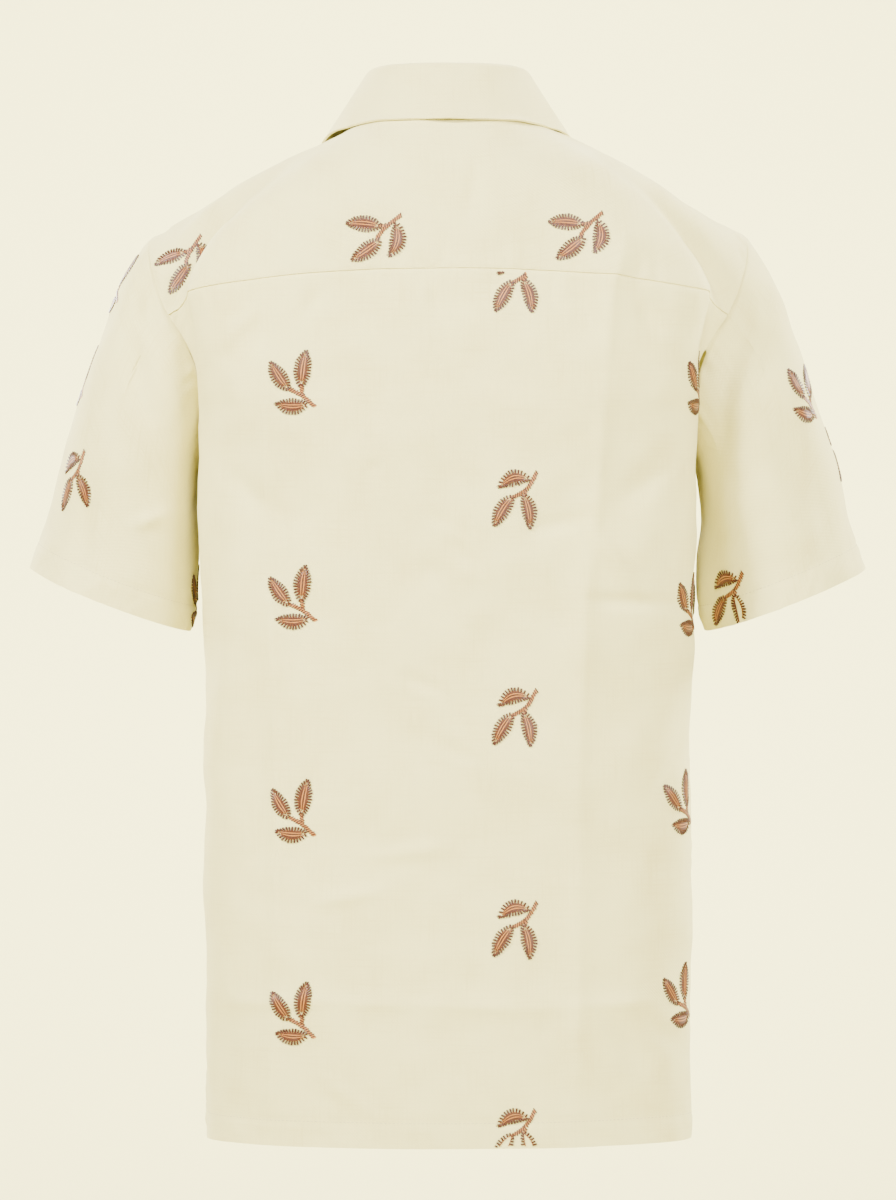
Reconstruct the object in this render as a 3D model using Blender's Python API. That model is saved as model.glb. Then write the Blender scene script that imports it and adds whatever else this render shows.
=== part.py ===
"""Embroidered short-sleeved shirt, filled out in the form it has when it is worn.

Every cloth piece is a thin wall lofted through rows that are worked out from the tables below.
Neighbouring pieces share the points of their seam, so a seam closes to one small gap all along.
+Z is up, the front faces -Y and the wearer's left is +X. The origin is at the base of the neck,
midway between the shoulders, where the wearer holds the shirt up.
"""

import math

import bmesh
import bpy
import numpy as np
from mathutils import Matrix, Vector
from mathutils.bvhtree import BVHTree

MM = 0.001

# Cloth
WALL = 1.5 * MM
SEAM_GAP = 0.3 * MM
UNDERLAP_DROP = 2.4 * MM  # how far the right front sinks under the left one
UNDERLAP_START = 34 * MM  # distance from the centre where it begins to sink
UNDERLAP_FULL = 19 * MM   # distance from the centre where it is fully under
LAY_LIFT = 2.7 * MM       # outer face of a turned-out layer above the cloth it lies on
UNDERARM_GAP = 1.4 * MM   # between sleeve and body where the armhole seam folds sharply
MITRE_LEAST = 0.4         # least agreement of two normals at a seam that is still mitred

# Grid counts
ROWS_LOW = 17             # hem to armpit
ROWS_HIGH = 8             # armpit to yoke seam
STRIP = 2                 # armhole or side seam to the body's side crest
HALF_BACK = 8             # crest to centre back
FRONT_WIDE = 8            # crest to the front edge
ARM_TOP = 6               # yoke's edge over the shoulder
SLEEVE_ROWS = 11
COLLAR_FALL = 6
LAPEL_ACROSS = 5

# Buttons
BUTTON_COUNT = 5
BUTTON_FIRST_Z = -196 * MM
BUTTON_PITCH = 95 * MM
BUTTON_RADIUS = 5.75 * MM
BUTTON_THICK = 2.4 * MM
BUTTON_RIM = 1.1 * MM
BUTTON_DISH = 0.5 * MM
BUTTON_HOLE_RADIUS = 0.85 * MM
BUTTON_HOLE_OFFSET = 1.35 * MM
BUTTON_SEAT = 0.4 * MM

# Places along the height: 0 at the hem, 1 at the armpit, 2 at the yoke seam
BREAK_UP = 1.375          # lapel turns out above this
GORGE_UP = 1.875          # collar ends here

# The body's form. Each row: place up the body, middle of the section (y, z), the crest where the
# section turns the side (x, y, z), how square the section is, how the row drops outwards.
FORM_COLUMNS = ("up", "middle_y", "middle_z", "crest_x", "crest_y", "crest_z", "square", "drop")
BACK_FORM = (
    (0.00, 118, -740, 177.6, 42, -737, 2.50, 2.2),
    (0.30, 120, -590, 178.4, 44, -590, 2.50, 2.2),
    (0.70, 122, -390, 179.0, 48, -390, 2.50, 2.2),
    (0.80, 123, -340, 180.8, 51, -340, 2.50, 2.2),
    (1.00, 125, -240, 181.6, 58, -240, 2.50, 2.2),
    (1.35, 126, -193, 182.6, 70, -189, 2.48, 2.2),
    (1.70, 123, -145, 185.5, 73, -152, 2.45, 2.2),
    (2.00, 117, -104, 191.0, 68, -119, 2.40, 2.2),
)
FRONT_FORM = (
    (0.00, -117, -740, 177.6, -42, -737, 2.50, 2.2),
    (0.30, -120, -590, 178.4, -44, -590, 2.50, 2.2),
    (0.70, -126, -390, 179.0, -48, -390, 2.50, 2.2),
    (0.80, -127, -340, 180.8, -50, -340, 2.50, 2.2),
    (1.00, -130, -240, 181.6, -55, -240, 2.50, 2.2),
    (1.35, -125, -180, 184.0, -66, -186, 2.45, 2.0),
    (1.70, -100, -98, 193.0, -62, -136, 2.30, 1.5),
    (2.00, -48, -2, 203.0, -42, -86, 2.00, 1.05),
)

# Edge curves on the wearer's left; the right side mirrors them.
CURVE_COLUMNS = ("along", "x", "y", "z")
SIDE_SEAM = (
    (0.00, 176.8, 0, -729),
    (0.30, 177.8, 0, -590),
    (0.70, 178.6, 0, -390),
    (1.00, 180.3, 0, -240),
)
ARMHOLE_BACK = (
    (1.00, 180.3, 0, -240),
    (1.12, 180.0, 22, -233),
    (1.30, 179.6, 44, -213),
    (1.50, 181.0, 55, -187),
    (1.75, 190.0, 61, -159),
    (2.00, 205.0, 58, -135),
)
ARMHOLE_FRONT = (
    (1.00, 180.3, 0, -240),
    (1.12, 180.0, -22, -233),
    (1.30, 179.8, -43, -208),
    (1.50, 183.0, -55, -175),
    (1.75, 197.0, -53, -133),
    (2.00, 216.0, -32, -92),
)
ARMHOLE_TOP = (
    (0.00, 205.0, 58, -135),
    (0.19, 214.0, 49, -114),
    (0.43, 220.5, 30, -90),
    (0.64, 220.0, 8, -76),
    (0.78, 218.5, -10, -75),
    (1.00, 216.0, -32, -92),
)
NECK = (
    (0.00, 0.0, 72, 16),
    (0.19, 30.0, 66, 15),
    (0.39, 55.0, 44, 11),
    (0.60, 69.5, 14, 3),
    (0.78, 71.0, -14, -6),
)

# Where the front edge runs: straight up the lap, 15 past the centre, then the roll line, then the
# neckline.
FRONT_EDGE_COLUMNS = ("up", "x")
FRONT_EDGE = (
    (0.000, -15),
    (1.375, -15),
    (1.875, 50),
    (2.000, 66),
)

# The yoke between neck and outer seam. Place: 0 centre back, 1 back corner, 2 front corner.
YOKE_COLUMNS = ("place", "neck", "start_slope", "end_x", "end_y", "end_z")
YOKE_RUN = (
    (0.0, 0.00, 40, 0.00, 0.08, -1.00),
    (0.5, 0.25, 30, 0.15, 0.20, -0.96),
    (1.0, 0.50, 22, 0.36, 0.30, -0.88),
    (1.25, 0.62, 19, 0.46, 0.20, -0.86),
    (1.5, 0.74, 24, 0.72, 0.00, -0.69),
    (2.0, 1.00, 36, 0.62, -0.40, -0.68),
)

# Sleeve. The cuff is an ellipse; its long half axis points outwards, its short one to the back.
CUFF_CENTRE = Vector((249.5, -5, -343)) * MM
CUFF_OUTWARD = Vector((59.5, 0, 23)) * MM
CUFF_BACKWARD = Vector((0, 60, -5)) * MM
SLEEVE_AXIS = Vector((0.30, 0, -0.95))
SLEEVE_START_PULL = 0.8
# How the sleeve leaves the armhole. Round: 0 underarm, 0.25 back, 0.5 shoulder, 0.75 front.
SLEEVE_COLUMNS = ("round", "away_x", "away_y", "away_z")
SLEEVE_LEAVES = (
    (0.00, 0.38, 0.00, -0.92),
    (0.12, 0.74, 0.22, -0.64),
    (0.28, 0.74, 0.30, -0.60),
    (0.40, 0.66, 0.30, -0.69),
    (0.50, 0.60, 0.00, -0.80),
    (0.60, 0.66, -0.30, -0.69),
    (0.72, 0.74, -0.30, -0.60),
    (0.88, 0.74, -0.22, -0.64),
    (1.00, 0.38, 0.00, -0.92),
)

# Collar, measured from its seam. Place: 0 centre back, 2 front end of the yoke, 3 gorge. Roll is
# its folded top, edge its free edge; the last row ends in the collar's point.
COLLAR_COLUMNS = ("place", "roll_x", "roll_y", "roll_z", "edge_x", "edge_y", "edge_z")
COLLAR_FORM = (
    (0.00, 0, -6, 32, 0, 19, -10),
    (0.40, -3, -5, 33, 9, 15, -10),
    (0.75, -7, -3, 36, 17, 10, -9),
    (1.15, -13, -3, 40, 21, 0, -6),
    (1.55, -16, -2, 36, 28, -4, -14),
    (2.00, -12, -5, 24, 39, -9, -17),
    (2.50, -8, -6, 13, 47, -13, -15),
    (3.00, -4, -5, 6, 54, -12, -12),
)
COLLAR_PLACES = 16
ROLL_RADIUS = 2.6 * MM

# Lapel, in the plane of the front view
LAPEL_TIP = (97 * MM, -93 * MM)
LAPEL_BELLY = 4 * MM
LAPEL_FOOT_WIDTH = 6 * MM
LEFT_LAPEL_START = 0.03   # how far up the roll line each lapel begins
RIGHT_LAPEL_START = 0.30
LAPEL_END = 0.955         # each lapel stops just short of the collar
LAPEL_STOPS = 9

# The largest soft folds. Each runs between two places of the front view (x, z), on the back
# (side 1) or the front (side -1); width is half the trough's breadth.
FOLD_COLUMNS = ("x1", "z1", "x2", "z2", "side", "width", "depth")
FOLDS = (
    (224, -96, 214, -150, 1, 9, 4.5),
    (238, -140, 216, -220, 1, 13, 5.0),
    (246, -150, 253, -210, 1, 10, 3.0),
    (-226, -100, -212, -150, 1, 9, 4.0),
    (-238, -130, -230, -190, 1, 12, 4.5),
    (222, -110, 208, -165, -1, 10, 4.0),
    (240, -140, 226, -210, -1, 13, 4.5),
    (-224, -112, -208, -168, -1, 10, 4.0),
    (-241, -136, -228, -205, -1, 12, 4.5),
    (140, -190, 95, -330, 1, 34, 3.0),
    (-150, -180, -110, -320, 1, 34, 3.0),
    (84, -300, 23, -644, 1, 40, 2.0),
    (-40, -520, -130, -700, 1, 40, 2.5),
    (130, -200, 90, -340, -1, 34, 3.0),
    (-130, -190, -100, -350, -1, 34, 3.0),
    (60, -420, 100, -700, -1, 40, 3.0),
    (-90, -480, -50, -700, -1, 40, 3.0),
)

# Name: colour, roughness, metallic
CLOTH = ("cream_cotton", (0.855, 0.811, 0.655), 0.85, 0.0)
SHELL_BUTTON = ("cream_button", (0.78, 0.70, 0.56), 0.35, 0.0)


def table(columns, rows):
    """Named columns of a table, as arrays."""
    return dict(zip(columns, np.array(rows, dtype=float).T))


def smooth(at, knots, values):
    """Values at the places `at` on a smooth curve through the knots."""
    at = np.asarray(at, dtype=float)
    knots = np.asarray(knots, dtype=float)
    values = np.asarray(values, dtype=float)
    slopes = np.gradient(values, knots, axis=0)
    low = np.clip(np.searchsorted(knots, at, side="right") - 1, 0, len(knots) - 2)
    span = knots[low + 1] - knots[low]
    s = (at - knots[low]) / span
    if values.ndim == 2:
        s = s[..., None]
        span = span[..., None]
    return (
        (1 + 2 * s) * (1 - s) ** 2 * values[low]
        + s * (1 - s) ** 2 * span * slopes[low]
        + s * s * (3 - 2 * s) * values[low + 1]
        - s * s * (1 - s) * span * slopes[low + 1]
    )


def places_of(data, x, y, z):
    """Three columns of a table as points."""
    return np.stack([data[x], data[y], data[z]], axis=1)


def curve(rows, at):
    """Points of one edge curve, in metres."""
    data = table(CURVE_COLUMNS, rows)
    return smooth(at, data["along"], places_of(data, "x", "y", "z")) * MM


def unit(vectors):
    """Vectors scaled to length one."""
    return vectors / np.maximum(np.linalg.norm(vectors, axis=-1, keepdims=True), 1e-12)


def mirrored(points):
    """The same points on the other side of the centre."""
    return points * np.array((-1.0, 1.0, 1.0))


def hermite(start, end, leave, arrive, stops):
    """Points between start and end that leave and arrive along the given vectors."""
    s = np.asarray(stops)[:, None]
    return (
        (1 + 2 * s) * (1 - s) ** 2 * start
        + s * (1 - s) ** 2 * leave
        + s * s * (3 - 2 * s) * end
        - s * s * (1 - s) * arrive
    )


def at_lengths(line, stops):
    """Points at the given fractions of a line's length."""
    steps = np.linalg.norm(np.diff(line, axis=0), axis=1)
    length = np.concatenate(([0.0], np.cumsum(steps)))
    return np.stack([np.interp(np.asarray(stops) * length[-1], length, line[:, k]) for k in range(3)], axis=1)


def body_section(form, up, end_x):
    """One row from the side crest towards the middle, as a fine line that stops at x = end_x."""
    read = {name: float(smooth(up, form["up"], form[name])) for name in FORM_COLUMNS[1:]}
    turn = np.linspace(math.pi / 2, 0, 120)
    power = 2 / read["square"]
    x = read["crest_x"] * np.sin(turn) ** power
    y = read["crest_y"] + (read["middle_y"] - read["crest_y"]) * np.cos(turn) ** power
    fall = (x / read["crest_x"]) ** read["drop"]
    z = read["middle_z"] + (read["crest_z"] - read["middle_z"]) * fall
    half = np.stack([x, y, z], axis=1) * MM
    line = np.concatenate([half, mirrored(half[-2::-1])])
    keep = line[:, 0] > end_x
    last = int(np.argmin(keep)) if not keep.all() else len(line) - 1
    share = (line[last - 1, 0] - end_x) / (line[last - 1, 0] - line[last, 0])
    end = line[last - 1] + share * (line[last] - line[last - 1])
    return np.concatenate([line[:last], [end]])


def side_strip(edge, crest, stops):
    """From the seam at the side to the crest, which it meets running along Y."""
    turn = np.array((crest[0], (edge[1] + crest[1]) / 2, (edge[2] + crest[2]) / 2))
    s = np.asarray(stops)[:, None]
    return (1 - s) ** 2 * edge + 2 * s * (1 - s) * turn + s * s * crest


def side_edge(up, armhole):
    """The panel's outer edge: the side seam below the armpit, the armhole above it."""
    if up <= 1:
        return curve(SIDE_SEAM, up)
    return curve(armhole, up)


def body_rows():
    """Places up the body of every row of the panels."""
    low = np.linspace(0, 1, ROWS_LOW + 1)
    high = np.linspace(1, 2, ROWS_HIGH + 1)
    return np.concatenate([low, high[1:]])


def half_row(form, armhole, up, end_x, count):
    """One row of the left half of a panel, from its side edge to x = end_x."""
    section = body_section(form, up, end_x)
    strip = side_strip(side_edge(up, armhole), section[0], np.linspace(0, 1, STRIP + 1))
    inner = at_lengths(section, np.linspace(0, 1, count + 1))
    return np.concatenate([strip[:-1], inner])


def back_grid():
    """Rows of the back from the hem up, each from the left side to the right."""
    form = table(FORM_COLUMNS, BACK_FORM)
    rows = []
    for up in body_rows():
        left = half_row(form, ARMHOLE_BACK, up, 0.0, HALF_BACK)
        rows.append(np.concatenate([left, mirrored(left[-2::-1])]))
    return np.array(rows)


def front_grid():
    """Rows of the left front from the hem up, each from its side to its front edge."""
    form = table(FORM_COLUMNS, FRONT_FORM)
    edge = table(FRONT_EDGE_COLUMNS, FRONT_EDGE)
    rows = []
    for up in body_rows():
        end_x = float(np.interp(up, edge["up"], edge["x"])) * MM
        rows.append(half_row(form, ARMHOLE_FRONT, up, end_x, FRONT_WIDE))
    return np.array(rows)


def neck_curve(front_end, places):
    """Left half of the neckline of the yoke, from centre back to the front end."""
    data = table(CURVE_COLUMNS, NECK)
    points = np.concatenate([places_of(data, "x", "y", "z") * MM, [front_end]])
    return smooth(places, np.append(data["along"], 1.0), points)


def yoke_grid(back, front):
    """The yoke from its left front seam round to the right one; rows run outwards from the neck."""
    seam_front = front[-1][::-1]
    seam_back = back[-1]
    half = (len(seam_back) - 1) // 2
    run = table(YOKE_COLUMNS, YOKE_RUN)
    places = np.concatenate([np.linspace(2, 1, ARM_TOP + 1), np.linspace(1, 0, half + 1)[1:]])
    armhole = curve(ARMHOLE_TOP, np.linspace(1, 0, ARM_TOP + 1))
    outer = np.concatenate([armhole, seam_back[1:half + 1]])
    outer[0] = seam_front[-1]
    outer[ARM_TOP] = seam_back[0]
    neck = neck_curve(seam_front[0], smooth(places, run["place"], run["neck"]))
    stops = np.linspace(0, 1, len(seam_front))
    columns = []
    for number, place in enumerate(places):
        slope = math.radians(float(smooth(place, run["place"], run["start_slope"])))
        away = unit(neck[number] * np.array((1.0, 1.0, 0.0)))
        length = np.linalg.norm(outer[number] - neck[number])
        leave = (away * math.cos(slope) + np.array((0, 0, -math.sin(slope)))) * length
        ends = places_of(run, "end_x", "end_y", "end_z")
        arrive = unit(smooth(place, run["place"], ends)) * length
        columns.append(hermite(neck[number], outer[number], leave, arrive, stops))
    columns = np.array(columns)
    lengths = np.linalg.norm(np.diff(seam_front, axis=0), axis=1)
    along = np.concatenate([[0], np.cumsum(lengths)]) / lengths.sum()
    for number in range(len(columns)):
        columns[number] = at_lengths(columns[number], along)
    miss = seam_front - columns[0]
    for number in range(ARM_TOP):
        columns[number] += miss * (1 - number / ARM_TOP) ** 2
    columns = np.concatenate([columns, mirrored(columns[-2::-1])])
    return columns.transpose(1, 0, 2)


def armhole_ring(back, front, yoke):
    """The left armhole, once round: from the armpit up the back, over the shoulder, down the front."""
    behind = back[ROWS_LOW:, 0]
    over = yoke[-1, ARM_TOP::-1]
    ahead = front[:ROWS_LOW - 1:-1, 0]
    return np.concatenate([behind, over[1:], ahead[1:]])


def sleeve_grid(ring):
    """Rows of the left sleeve from the armhole down; the last column repeats the first."""
    steps = np.linalg.norm(np.diff(ring, axis=0), axis=1)
    around = np.concatenate([[0], np.cumsum(steps)]) / steps.sum()
    leaves = table(SLEEVE_COLUMNS, SLEEVE_LEAVES)
    ways = places_of(leaves, "away_x", "away_y", "away_z")
    stops = np.linspace(0, 1, SLEEVE_ROWS + 1)
    columns = []
    for number, place in enumerate(around):
        turn = 2 * math.pi * place
        cuff = CUFF_CENTRE - CUFF_OUTWARD * math.cos(turn) + CUFF_BACKWARD * math.sin(turn)
        start = ring[number]
        length = np.linalg.norm(np.array(cuff) - start)
        leave = unit(smooth(place, leaves["round"], ways)) * length * SLEEVE_START_PULL
        arrive = unit(np.array(SLEEVE_AXIS)) * length
        columns.append(hermite(start, np.array(cuff), leave, arrive, stops))
    return np.array(columns).transpose(1, 0, 2)


def add_grid(bm, grid, closed=False):
    """Add one grid of quads to a bmesh and return its vertices, row by row."""
    verts = [[bm.verts.new(p) for p in row] for row in grid]
    wide = len(grid[0])
    for low, high in zip(verts, verts[1:]):
        for k in range(wide if closed else wide - 1):
            bm.faces.new((low[k], low[(k + 1) % wide], high[(k + 1) % wide], high[k]))
    return verts


def shared_normals(grids):
    """Normals of all grids as one welded surface, so that walls meet in a mitre at the seams."""
    bm = bmesh.new()
    for grid in grids:
        add_grid(bm, grid)
    bmesh.ops.remove_doubles(bm, verts=bm.verts[:], dist=0.00005)
    bm.normal_update()
    bm.verts.ensure_lookup_table()
    tree = BVHTree.FromBMesh(bm)
    places = np.array([v.co for v in bm.verts])
    normals = np.array([v.normal for v in bm.verts])
    found = []
    for grid in grids:
        flat = grid.reshape(-1, 3)
        nearest = [int(np.argmin(((places - p) ** 2).sum(axis=1))) for p in flat]
        found.append(normals[nearest].reshape(grid.shape))
    bm.free()
    return found, tree


def hang_sleeves(torso, sleeves):
    """Wall normals of all pieces, and the sleeves set just off the body.

    Where the armhole seam is nearly flat both walls share a mitre; where it folds sharply each keeps
    its own normal, and the sleeve starts a little further out.
    """
    ways, tree = shared_normals(torso)
    hung = []
    for sleeve in sleeves:
        own = shared_normals([sleeve])[0][0]
        moved = sleeve.copy()
        for number, point in enumerate(sleeve[0]):
            touching = [np.linalg.norm(grid - point, axis=-1) < 0.05 * MM for grid in torso]
            way = next(normal[spot][0] for normal, spot in zip(ways, touching) if spot.any())
            agree = float(way @ own[0, number])
            moved[0, number] += way * UNDERARM_GAP * min(1 - agree, 1)
            if agree > MITRE_LEAST:
                own[0, number] = unit(way + own[0, number])
                for normal, spot in zip(ways, touching):
                    normal[spot] = own[0, number]
        hung.append(moved)
        ways.append(own)
    return hung, ways, tree


def fold_depth(points, normals):
    """How far each point sinks into the soft folds."""
    sunk = np.zeros(points.shape[:-1])
    for row in FOLDS:
        fold = dict(zip(FOLD_COLUMNS, row))
        start = np.array((fold["x1"], fold["z1"])) * MM
        run = np.array((fold["x2"], fold["z2"])) * MM - start
        flat = points[..., (0, 2)] - start
        share = np.clip((flat @ run) / (run @ run), 0, 1)
        away = np.linalg.norm(flat - share[..., None] * run, axis=-1) / (fold["width"] * MM)
        taper = np.sin(math.pi * np.clip(share * 0.8 + 0.1, 0, 1))
        facing = np.clip(normals[..., 1] * fold["side"] * 2, 0, 1)
        sunk += fold["depth"] * MM * np.exp(-away ** 2) * taper * facing
    return sunk


def fold_all(grids):
    """Sink every grid into the folds, seams alike on both sides."""
    normals, _ = shared_normals(grids)
    return [grid - fold_depth(grid, n)[..., None] * n for grid, n in zip(grids, normals)]


def part_edges(grid, sides):
    """Pull the named sides of a grid back by half the seam gap, square to the seam."""
    moved = grid.copy()
    for side in sides:
        if side in ("first_row", "last_row"):
            line, inside = (grid[0], grid[1]) if side == "first_row" else (grid[-1], grid[-2])
        else:
            line, inside = (grid[:, 0], grid[:, 1]) if side == "first_column" else (grid[:, -1], grid[:, -2])
        tangent = unit(np.gradient(line, axis=0))
        inward = inside - line
        inward = unit(inward - (inward * tangent).sum(axis=-1, keepdims=True) * tangent)
        shift = inward * SEAM_GAP / 2
        if side == "first_row":
            moved[0] += shift
        elif side == "last_row":
            moved[-1] += shift
        elif side == "first_column":
            moved[:, 0] += shift
        else:
            moved[:, -1] += shift
    return moved


def underlap(grid, normals):
    """Sink the right front's edge under the left front, smoothly from a little way off."""
    reach = np.clip((grid[..., 0] + UNDERLAP_START) / (UNDERLAP_START - UNDERLAP_FULL), 0, 1)
    ease = reach * reach * (3 - 2 * reach)
    return grid - (ease * UNDERLAP_DROP)[..., None] * normals


def wall(name, grid, normals, material, closed=False):
    """A closed wall: the grid is its outer face, the inner face lies one wall thickness behind."""
    if closed:
        grid = grid[:, :-1]
        normals = normals[:, :-1]
    bm = bmesh.new()
    outer = add_grid(bm, grid, closed)
    inner = add_grid(bm, grid - normals * WALL, closed)
    for face in list(bm.faces)[len(bm.faces) // 2:]:
        face.normal_flip()
    wide = len(outer[0])
    for a, b in ((outer[0], inner[0]), (inner[-1], outer[-1])):
        for k in range(wide if closed else wide - 1):
            bm.faces.new((a[(k + 1) % wide], a[k], b[k], b[(k + 1) % wide]))
    if not closed:
        for a, b, c, d in zip(outer, outer[1:], inner, inner[1:]):
            bm.faces.new((a[0], b[0], d[0], c[0]))
            bm.faces.new((b[-1], a[-1], c[-1], d[-1]))
    return add_object(name, bm, material)


def add_object(name, bm, material):
    """Put a bmesh into the shirt's collection, shaded smooth across its soft faces."""
    mesh = bpy.data.meshes.new(name)
    bm.to_mesh(mesh)
    bm.free()
    mesh.shade_smooth()
    mesh.set_sharp_from_angle(angle=math.radians(50))
    mesh.materials.append(material)
    obj = bpy.data.objects.new(name, mesh)
    SHIRT.objects.link(obj)
    return obj


def make_material(name, colour, roughness, metallic):
    """One finish for one sub-part."""
    material = bpy.data.materials.new(name)
    material.use_nodes = True
    shader = material.node_tree.nodes["Principled BSDF"]
    shader.inputs["Base Color"].default_value = (*colour, 1.0)
    shader.inputs["Roughness"].default_value = roughness
    shader.inputs["Metallic"].default_value = metallic
    return material


def cloth(piece):
    """The shirt's cloth, as one material for each piece."""
    return make_material(piece + "_" + CLOTH[0], *CLOTH[1:])


def own_normals(grid):
    """Normals of one grid by itself."""
    found, _ = shared_normals([grid])
    return found[0]


def keep_off(points, tree, lift):
    """Push points out until they stand at least `lift` above the cloth below them."""
    kept = []
    for p in points:
        place, normal, _, _ = tree.find_nearest(Vector(p))
        height = (Vector(p) - place).dot(normal)
        kept.append(np.array(p) + np.array(normal) * max(0.0, lift - height))
    return np.array(kept)


def collar_grid(neck, tree):
    """The collar from its seam up the stand, over the roll and down the fall, left half first."""
    form = table(COLLAR_COLUMNS, COLLAR_FORM)
    rolls = places_of(form, "roll_x", "roll_y", "roll_z") * MM
    edges = places_of(form, "edge_x", "edge_y", "edge_z") * MM
    places = np.linspace(0, form["place"][-1], COLLAR_PLACES)
    columns = []
    for place in places:
        seam = neck(place)
        roll = seam + smooth(place, form["place"], rolls)
        edge = seam + smooth(place, form["place"], edges)
        outward = unit((edge - roll) * np.array((1.0, 1.0, 0.0)))
        seam = seam - outward * (WALL + 0.7 * MM)
        up = unit(roll - seam)
        down = unit(edge - roll)
        bend = [roll - up * ROLL_RADIUS * 1.3, roll - up * 0.3 * ROLL_RADIUS + outward * 0.1 * ROLL_RADIUS]
        bend.append(roll + outward * ROLL_RADIUS)
        bend.append(roll + outward * ROLL_RADIUS * 1.7 + down * ROLL_RADIUS)
        stand = [seam, (seam + bend[0]) / 2]
        fall = [bend[-1] + (edge - bend[-1]) * k / COLLAR_FALL for k in range(1, COLLAR_FALL + 1)]
        fall = list(keep_off(fall, tree, LAY_LIFT))
        columns.append(stand + bend + fall)
    half = np.array(columns)
    whole = np.concatenate([half[::-1], mirrored(half[1:])])
    return whole.transpose(1, 0, 2)


def lapel_grid(front, front_normals, start, tree):
    """The left lapel: it rolls round the front's edge and lies on the front to its outer edge."""
    ups = body_rows()
    rolling = (ups >= BREAK_UP - 1e-6) & (ups <= GORGE_UP + 1e-6)
    edge_line = front[rolling][:, 0]
    next_line = front[rolling][:, 1]
    normal_line = front_normals[rolling][:, 0]
    stops = np.linspace(start, LAPEL_END, LAPEL_STOPS)
    edge = at_lengths(edge_line, stops)
    inner = at_lengths(next_line, stops)
    knots = np.linspace(0, 1, len(normal_line))
    normal = unit(smooth(stops, knots, normal_line))
    tangent = unit(np.gradient(edge, axis=0))
    away = edge - inner
    away = unit(away - (away * tangent).sum(axis=1, keepdims=True) * tangent)
    columns = []
    foot = edge[0]
    for number, point in enumerate(edge):
        share = number / (LAPEL_STOPS - 1)
        rim_x = foot[0] + LAPEL_FOOT_WIDTH + (LAPEL_TIP[0] - foot[0] - LAPEL_FOOT_WIDTH) * share
        rim_x += LAPEL_BELLY * math.sin(math.pi * share)
        rim_z = foot[2] + (LAPEL_TIP[1] - foot[2]) * share
        path = [point + away[number] * 2.1 * MM - normal[number] * 1.2 * MM]
        path.append(point + away[number] * 2.2 * MM + normal[number] * 0.5 * MM)
        path.append(point + away[number] * 0.9 * MM + normal[number] * 2.2 * MM)
        for k in range(1, LAPEL_ACROSS + 1):
            f = k / LAPEL_ACROSS
            x = point[0] + (rim_x - point[0]) * f
            z = point[2] + (rim_z - point[2]) * f
            hit, hit_normal, _, _ = tree.ray_cast(Vector((x, -0.4, z)), Vector((0, 1, 0)))
            path.append(np.array(hit) + np.array(hit_normal) * LAY_LIFT)
        columns.append(path)
    return np.array(columns)


def make_button(name, centre, normal, material):
    """A flat four-hole button with a raised rim, its back just off the cloth."""
    bm = bmesh.new()
    bmesh.ops.create_cone(
        bm, cap_ends=True, segments=28, radius1=BUTTON_RADIUS, radius2=BUTTON_RADIUS, depth=BUTTON_THICK
    )
    top = max(bm.faces, key=lambda face: face.calc_center_median().z)
    bmesh.ops.inset_region(bm, faces=[top], thickness=BUTTON_RIM, depth=0)
    bmesh.ops.inset_region(bm, faces=[top], thickness=BUTTON_RIM / 2, depth=-BUTTON_DISH)
    turn = normal.to_track_quat("Z", "Y").to_matrix().to_4x4()
    place = Matrix.Translation(centre + normal * (BUTTON_THICK / 2 + BUTTON_SEAT)) @ turn
    bmesh.ops.transform(bm, matrix=place, verts=bm.verts)
    button = add_object(name, bm, material)
    for number in range(4):
        angle = math.pi / 4 + number * math.pi / 2
        offset = Vector((math.cos(angle), math.sin(angle), 0)) * BUTTON_HOLE_OFFSET * math.sqrt(2)
        hole = bmesh.new()
        bmesh.ops.create_cone(
            hole, cap_ends=True, segments=10, radius1=BUTTON_HOLE_RADIUS,
            radius2=BUTTON_HOLE_RADIUS, depth=BUTTON_THICK * 3
        )
        bmesh.ops.transform(hole, matrix=place @ Matrix.Translation(offset), verts=hole.verts)
        mesh = bpy.data.meshes.new("cutter")
        hole.to_mesh(mesh)
        hole.free()
        cutter = bpy.data.objects.new(name + "_hole_%d" % (number + 1), mesh)
        cutter.hide_render = True
        cutter.display_type = "WIRE"
        CUTTERS.objects.link(cutter)
        cut = button.modifiers.new("hole", "BOOLEAN")
        cut.operation = "DIFFERENCE"
        cut.object = cutter
    return button


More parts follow.
